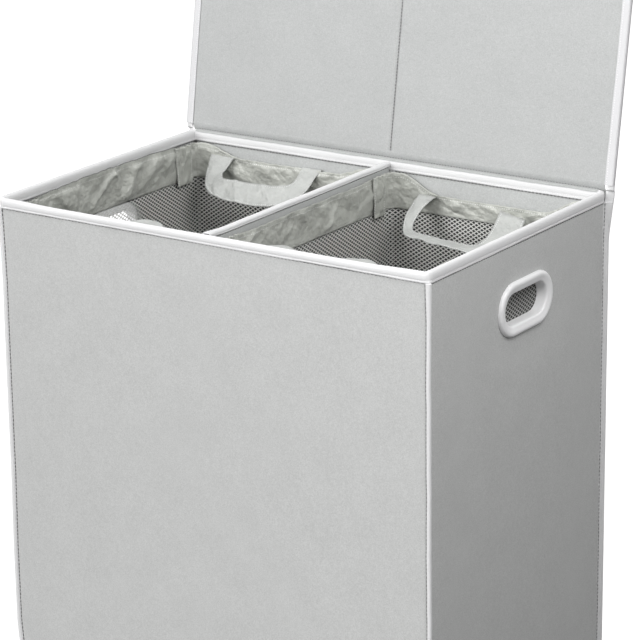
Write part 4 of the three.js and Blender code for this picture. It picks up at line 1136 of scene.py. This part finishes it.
def through(rows, step):
    """A smooth curve through every row, in even steps, with the length so far of its first two numbers."""
    rows = np.array(rows, float)
    ends = np.concatenate([[2 * rows[0] - rows[1]], rows, [2 * rows[-1] - rows[-2]]])
    share = np.linspace(0, 1, 12, endpoint=False)[:, None]
    pieces = []
    for k in range(1, len(ends) - 2):
        a, b, c, d = ends[k - 1:k + 3]
        pieces.append(0.5 * (2 * b + (c - a) * share + (2 * a - 5 * b + 4 * c - d) * share ** 2
                             + (3 * b - a - 3 * c + d) * share ** 3))
    curve = np.concatenate(pieces + [rows[-1:]])
    length = so_far(curve[:, 0], curve[:, 1])
    at = stations(0, length[-1], step)
    return np.stack([np.interp(at, length, column) for column in curve.T], 1), at


def strap_handle(side_name, sign, end, way):
    """A flat loop of doubled satin: out of the band's top edge, down a leg, across and back."""
    bag, name = f"{side_name}_bag", f"{side_name}_bag_{end}_handle"
    lean, rows = STRAPS[side_name, end]
    curve, length = through(rows, 2)
    x, v, lift, angle, turn, width = curve.T[..., None]
    angle, turn, lean = np.radians(angle), np.radians(turn), math.radians(lean)
    sideways = np.array([1.0, 0, 0])
    away = np.array([0, -way * math.sin(lean), -math.cos(lean)])
    face = np.array([0, -way * math.cos(lean), math.sin(lean)])
    share = np.linspace(0, 1, 15)
    across = np.cos(turn) * (np.sin(angle) * away - np.cos(angle) * sideways) + np.sin(turn) * face
    start = x * sideways + v * away + lift * face
    grid = start[:, None] + across[:, None] * (share * width)[..., None]
    hem = np.exp(-((share - 0.09) / 0.05) ** 2) + np.exp(-((share - 0.91) / 0.05) ** 2)
    seed = 160 + 2 * (sign > 0) + (way > 0)
    fine, creases = ripple(seed, 14, 7, 42), fold_field(seed, length[-1], 20, 2.8, 2, 6)
    along = length[:, None]
    swell = 0.8 * fine(along, share * STRAP_WIDTH) + creases(along, 0.5 + 0.5 * share, 90) - 0.7 * hem
    from_end = np.minimum(length, length[-1] - length)
    grid = grid + normals_of(grid) * (swell * smooth(from_end, 0, 12)[:, None])[..., None]
    pivot = np.array([sign * BAG_MIDDLE - STRAP_SHIFT, way * STRAP_PIVOT[0], STRAP_PIVOT[1]])
    grid = grid + pivot
    strap = sheet_of(f"{name}_cloth", grid, STRAP_THICK, length, share * STRAP_WIDTH, SHADED_STRAP_SATIN)
    face, loose = normals_of(grid), from_end > SEAM_BEND[1]
    for label, column in (("inner", 1), ("outer", len(share) - 2)) if way > 0 else ():
        for which, flip in (("upper", 1), ("lower", -1)):
            out = face[loose, column] * flip
            thread_and_shade_beads(f"{name}_{label}_{which}_stitches", name, "satin",
                                    grid[loose, column] + out * 0.6, out, THREAD)
    declare(strap, bag, [name],
            bend=(name, *(pivot + v * away for v in SEAM_BEND)))


for side_name, sign in (("left", -1), ("right", 1)):
    name = f"{side_name}_bag"
    bag_band(name, sign)
    bag_net(name, sign)
    bag_base(name, sign)
    for end in ("front", "back"):
        for label, side in (("left", -1), ("right", 1)):
            bag_tab(name, sign, end, label, side)
    for end, way in (("front", -1), ("back", 1)):
        strap_handle(side_name, sign, end, way)

# Boards and hook strips stay as the CAD has them, with made-up surfaces of their own
for node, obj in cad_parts.items():
    if not obj.hide_render:
        look, slot = (HOOK, "hook_tape") if node.endswith("_strip") else (BOARD, "board")
        obj.data.materials.clear()
        obj.data.materials.append(look)


# Camera, floor and light
def camera():
    back = Vector((math.sin(CAMERA_YAW) * math.cos(CAMERA_PITCH),
                   -math.cos(CAMERA_YAW) * math.cos(CAMERA_PITCH), math.sin(CAMERA_PITCH)))
    level = Vector((math.cos(CAMERA_YAW), math.sin(CAMERA_YAW), 0))
    up = back.cross(level)
    right = math.cos(CAMERA_ROLL) * level + math.sin(CAMERA_ROLL) * up
    top = -math.sin(CAMERA_ROLL) * level + math.cos(CAMERA_ROLL) * up
    data = bpy.data.cameras.new("camera")
    data.sensor_width = SENSOR
    data.lens = FOCAL_PIXELS / PHOTO_SIDE * SENSOR
    data.shift_x = (PHOTO_SIDE / 2 - CENTRE_PIXEL_X) / PHOTO_SIDE
    data.shift_y = (CENTRE_PIXEL_Y - PHOTO_SIDE / 2) / PHOTO_SIDE
    data.clip_end = CAMERA_REACH
    obj = bpy.data.objects.new("camera", data)
    bpy.context.scene.collection.objects.link(obj)
    turn = Matrix((right, top, back)).transposed().to_4x4()
    obj.matrix_world = Matrix.Translation(Vector(CAMERA_PLACE) * MM) @ turn
    bpy.context.scene.camera = obj


WHITE = (1, 1, 1, 1)
SKY, BACKDROP = 0.46, 1.05
FLOOR_SIDE = 24
FLOOR_BOUNCE, FLOOR_SEEN = (0.14, 0.14, 0.14, 1), (0.85, 0.85, 0.85, 1)


def studio():
    """Dim light from all round, with white to see behind the part and in its gloss."""
    world = bpy.data.worlds.new("studio")
    bpy.context.scene.world = world
    nodes = Nodes(world)
    rays = nodes.add("ShaderNodeLightPath").outputs
    seen = nodes.math("MAXIMUM", rays["Is Camera Ray"], rays["Is Glossy Ray"])
    seen = nodes.math("MAXIMUM", seen, rays["Is Transmission Ray"])
    dim, white = (nodes.add("ShaderNodeBackground", {"Color": WHITE, "Strength": strength}).outputs[0]
                  for strength in (SKY, BACKDROP))
    mix = nodes.add("ShaderNodeMixShader", {0: seen, 1: dim, 2: white})
    nodes.add("ShaderNodeOutputWorld", {"Surface": mix.outputs[0]})


def floor():
    """It looks white to the camera, with the shadow, and throws little light back up."""
    mesh = bpy.data.meshes.new("floor")
    corners = [(x * FLOOR_SIDE / 2, y * FLOOR_SIDE / 2, 0) for x, y in ((-1, -1), (1, -1), (1, 1), (-1, 1))]
    mesh.from_pydata(corners, [], [(0, 1, 2, 3)])
    obj = bpy.data.objects.new("floor", mesh)
    bpy.context.scene.collection.objects.link(obj)
    look = Shader("pale floor", 0.9, 0.1)
    look.set(look.surface, {"Base Color": FLOOR_BOUNCE})
    pale = look.add("ShaderNodeBsdfDiffuse", {"Color": FLOOR_SEEN})
    lit = look.add("ShaderNodeEmission", {"Color": WHITE, "Strength": 0.6})
    both = look.add("ShaderNodeAddShader", {0: pale.outputs[0], 1: lit.outputs[0]})
    rays = look.add("ShaderNodeLightPath").outputs
    mix = look.add("ShaderNodeMixShader", {0: rays["Is Camera Ray"], 1: look.surface.outputs[0],
                                           2: both.outputs[0]})
    look.set(look.out, {"Surface": mix.outputs[0]})
    mesh.materials.append(look.material)


def light(kind, name, energy, aim, place=(0, 0, 3), size=None):
    """A soft light that shines along aim; a sun's size is its angle in degrees, an area light's its width."""
    data = bpy.data.lights.new(name, kind)
    data.energy = energy
    if kind == "SUN":
        data.angle = math.radians(size)
    else:
        data.shape, data.size = "DISK", size
    obj = bpy.data.objects.new(name, data)
    obj.location = place
    obj.rotation_mode = "QUATERNION"
    obj.rotation_quaternion = Vector(aim).to_track_quat("-Z", "Y")
    bpy.context.scene.collection.objects.link(obj)


camera()
studio()
floor()
light("SUN", "key", 2.3, (0.36, 0.90, -0.30), size=40)
light("AREA", "left fill", 3.2, (-0.1, 0.6, -1.0), place=(-0.3, -0.35, 1.5), size=0.6)
light("AREA", "side", 13.5, (-1.0, 0.45, -1.1), place=(1.12, -0.52, 1.62), size=0.8)

bpy.context.scene.view_settings.view_transform = "Standard"

bpy.context.view_layer.update()
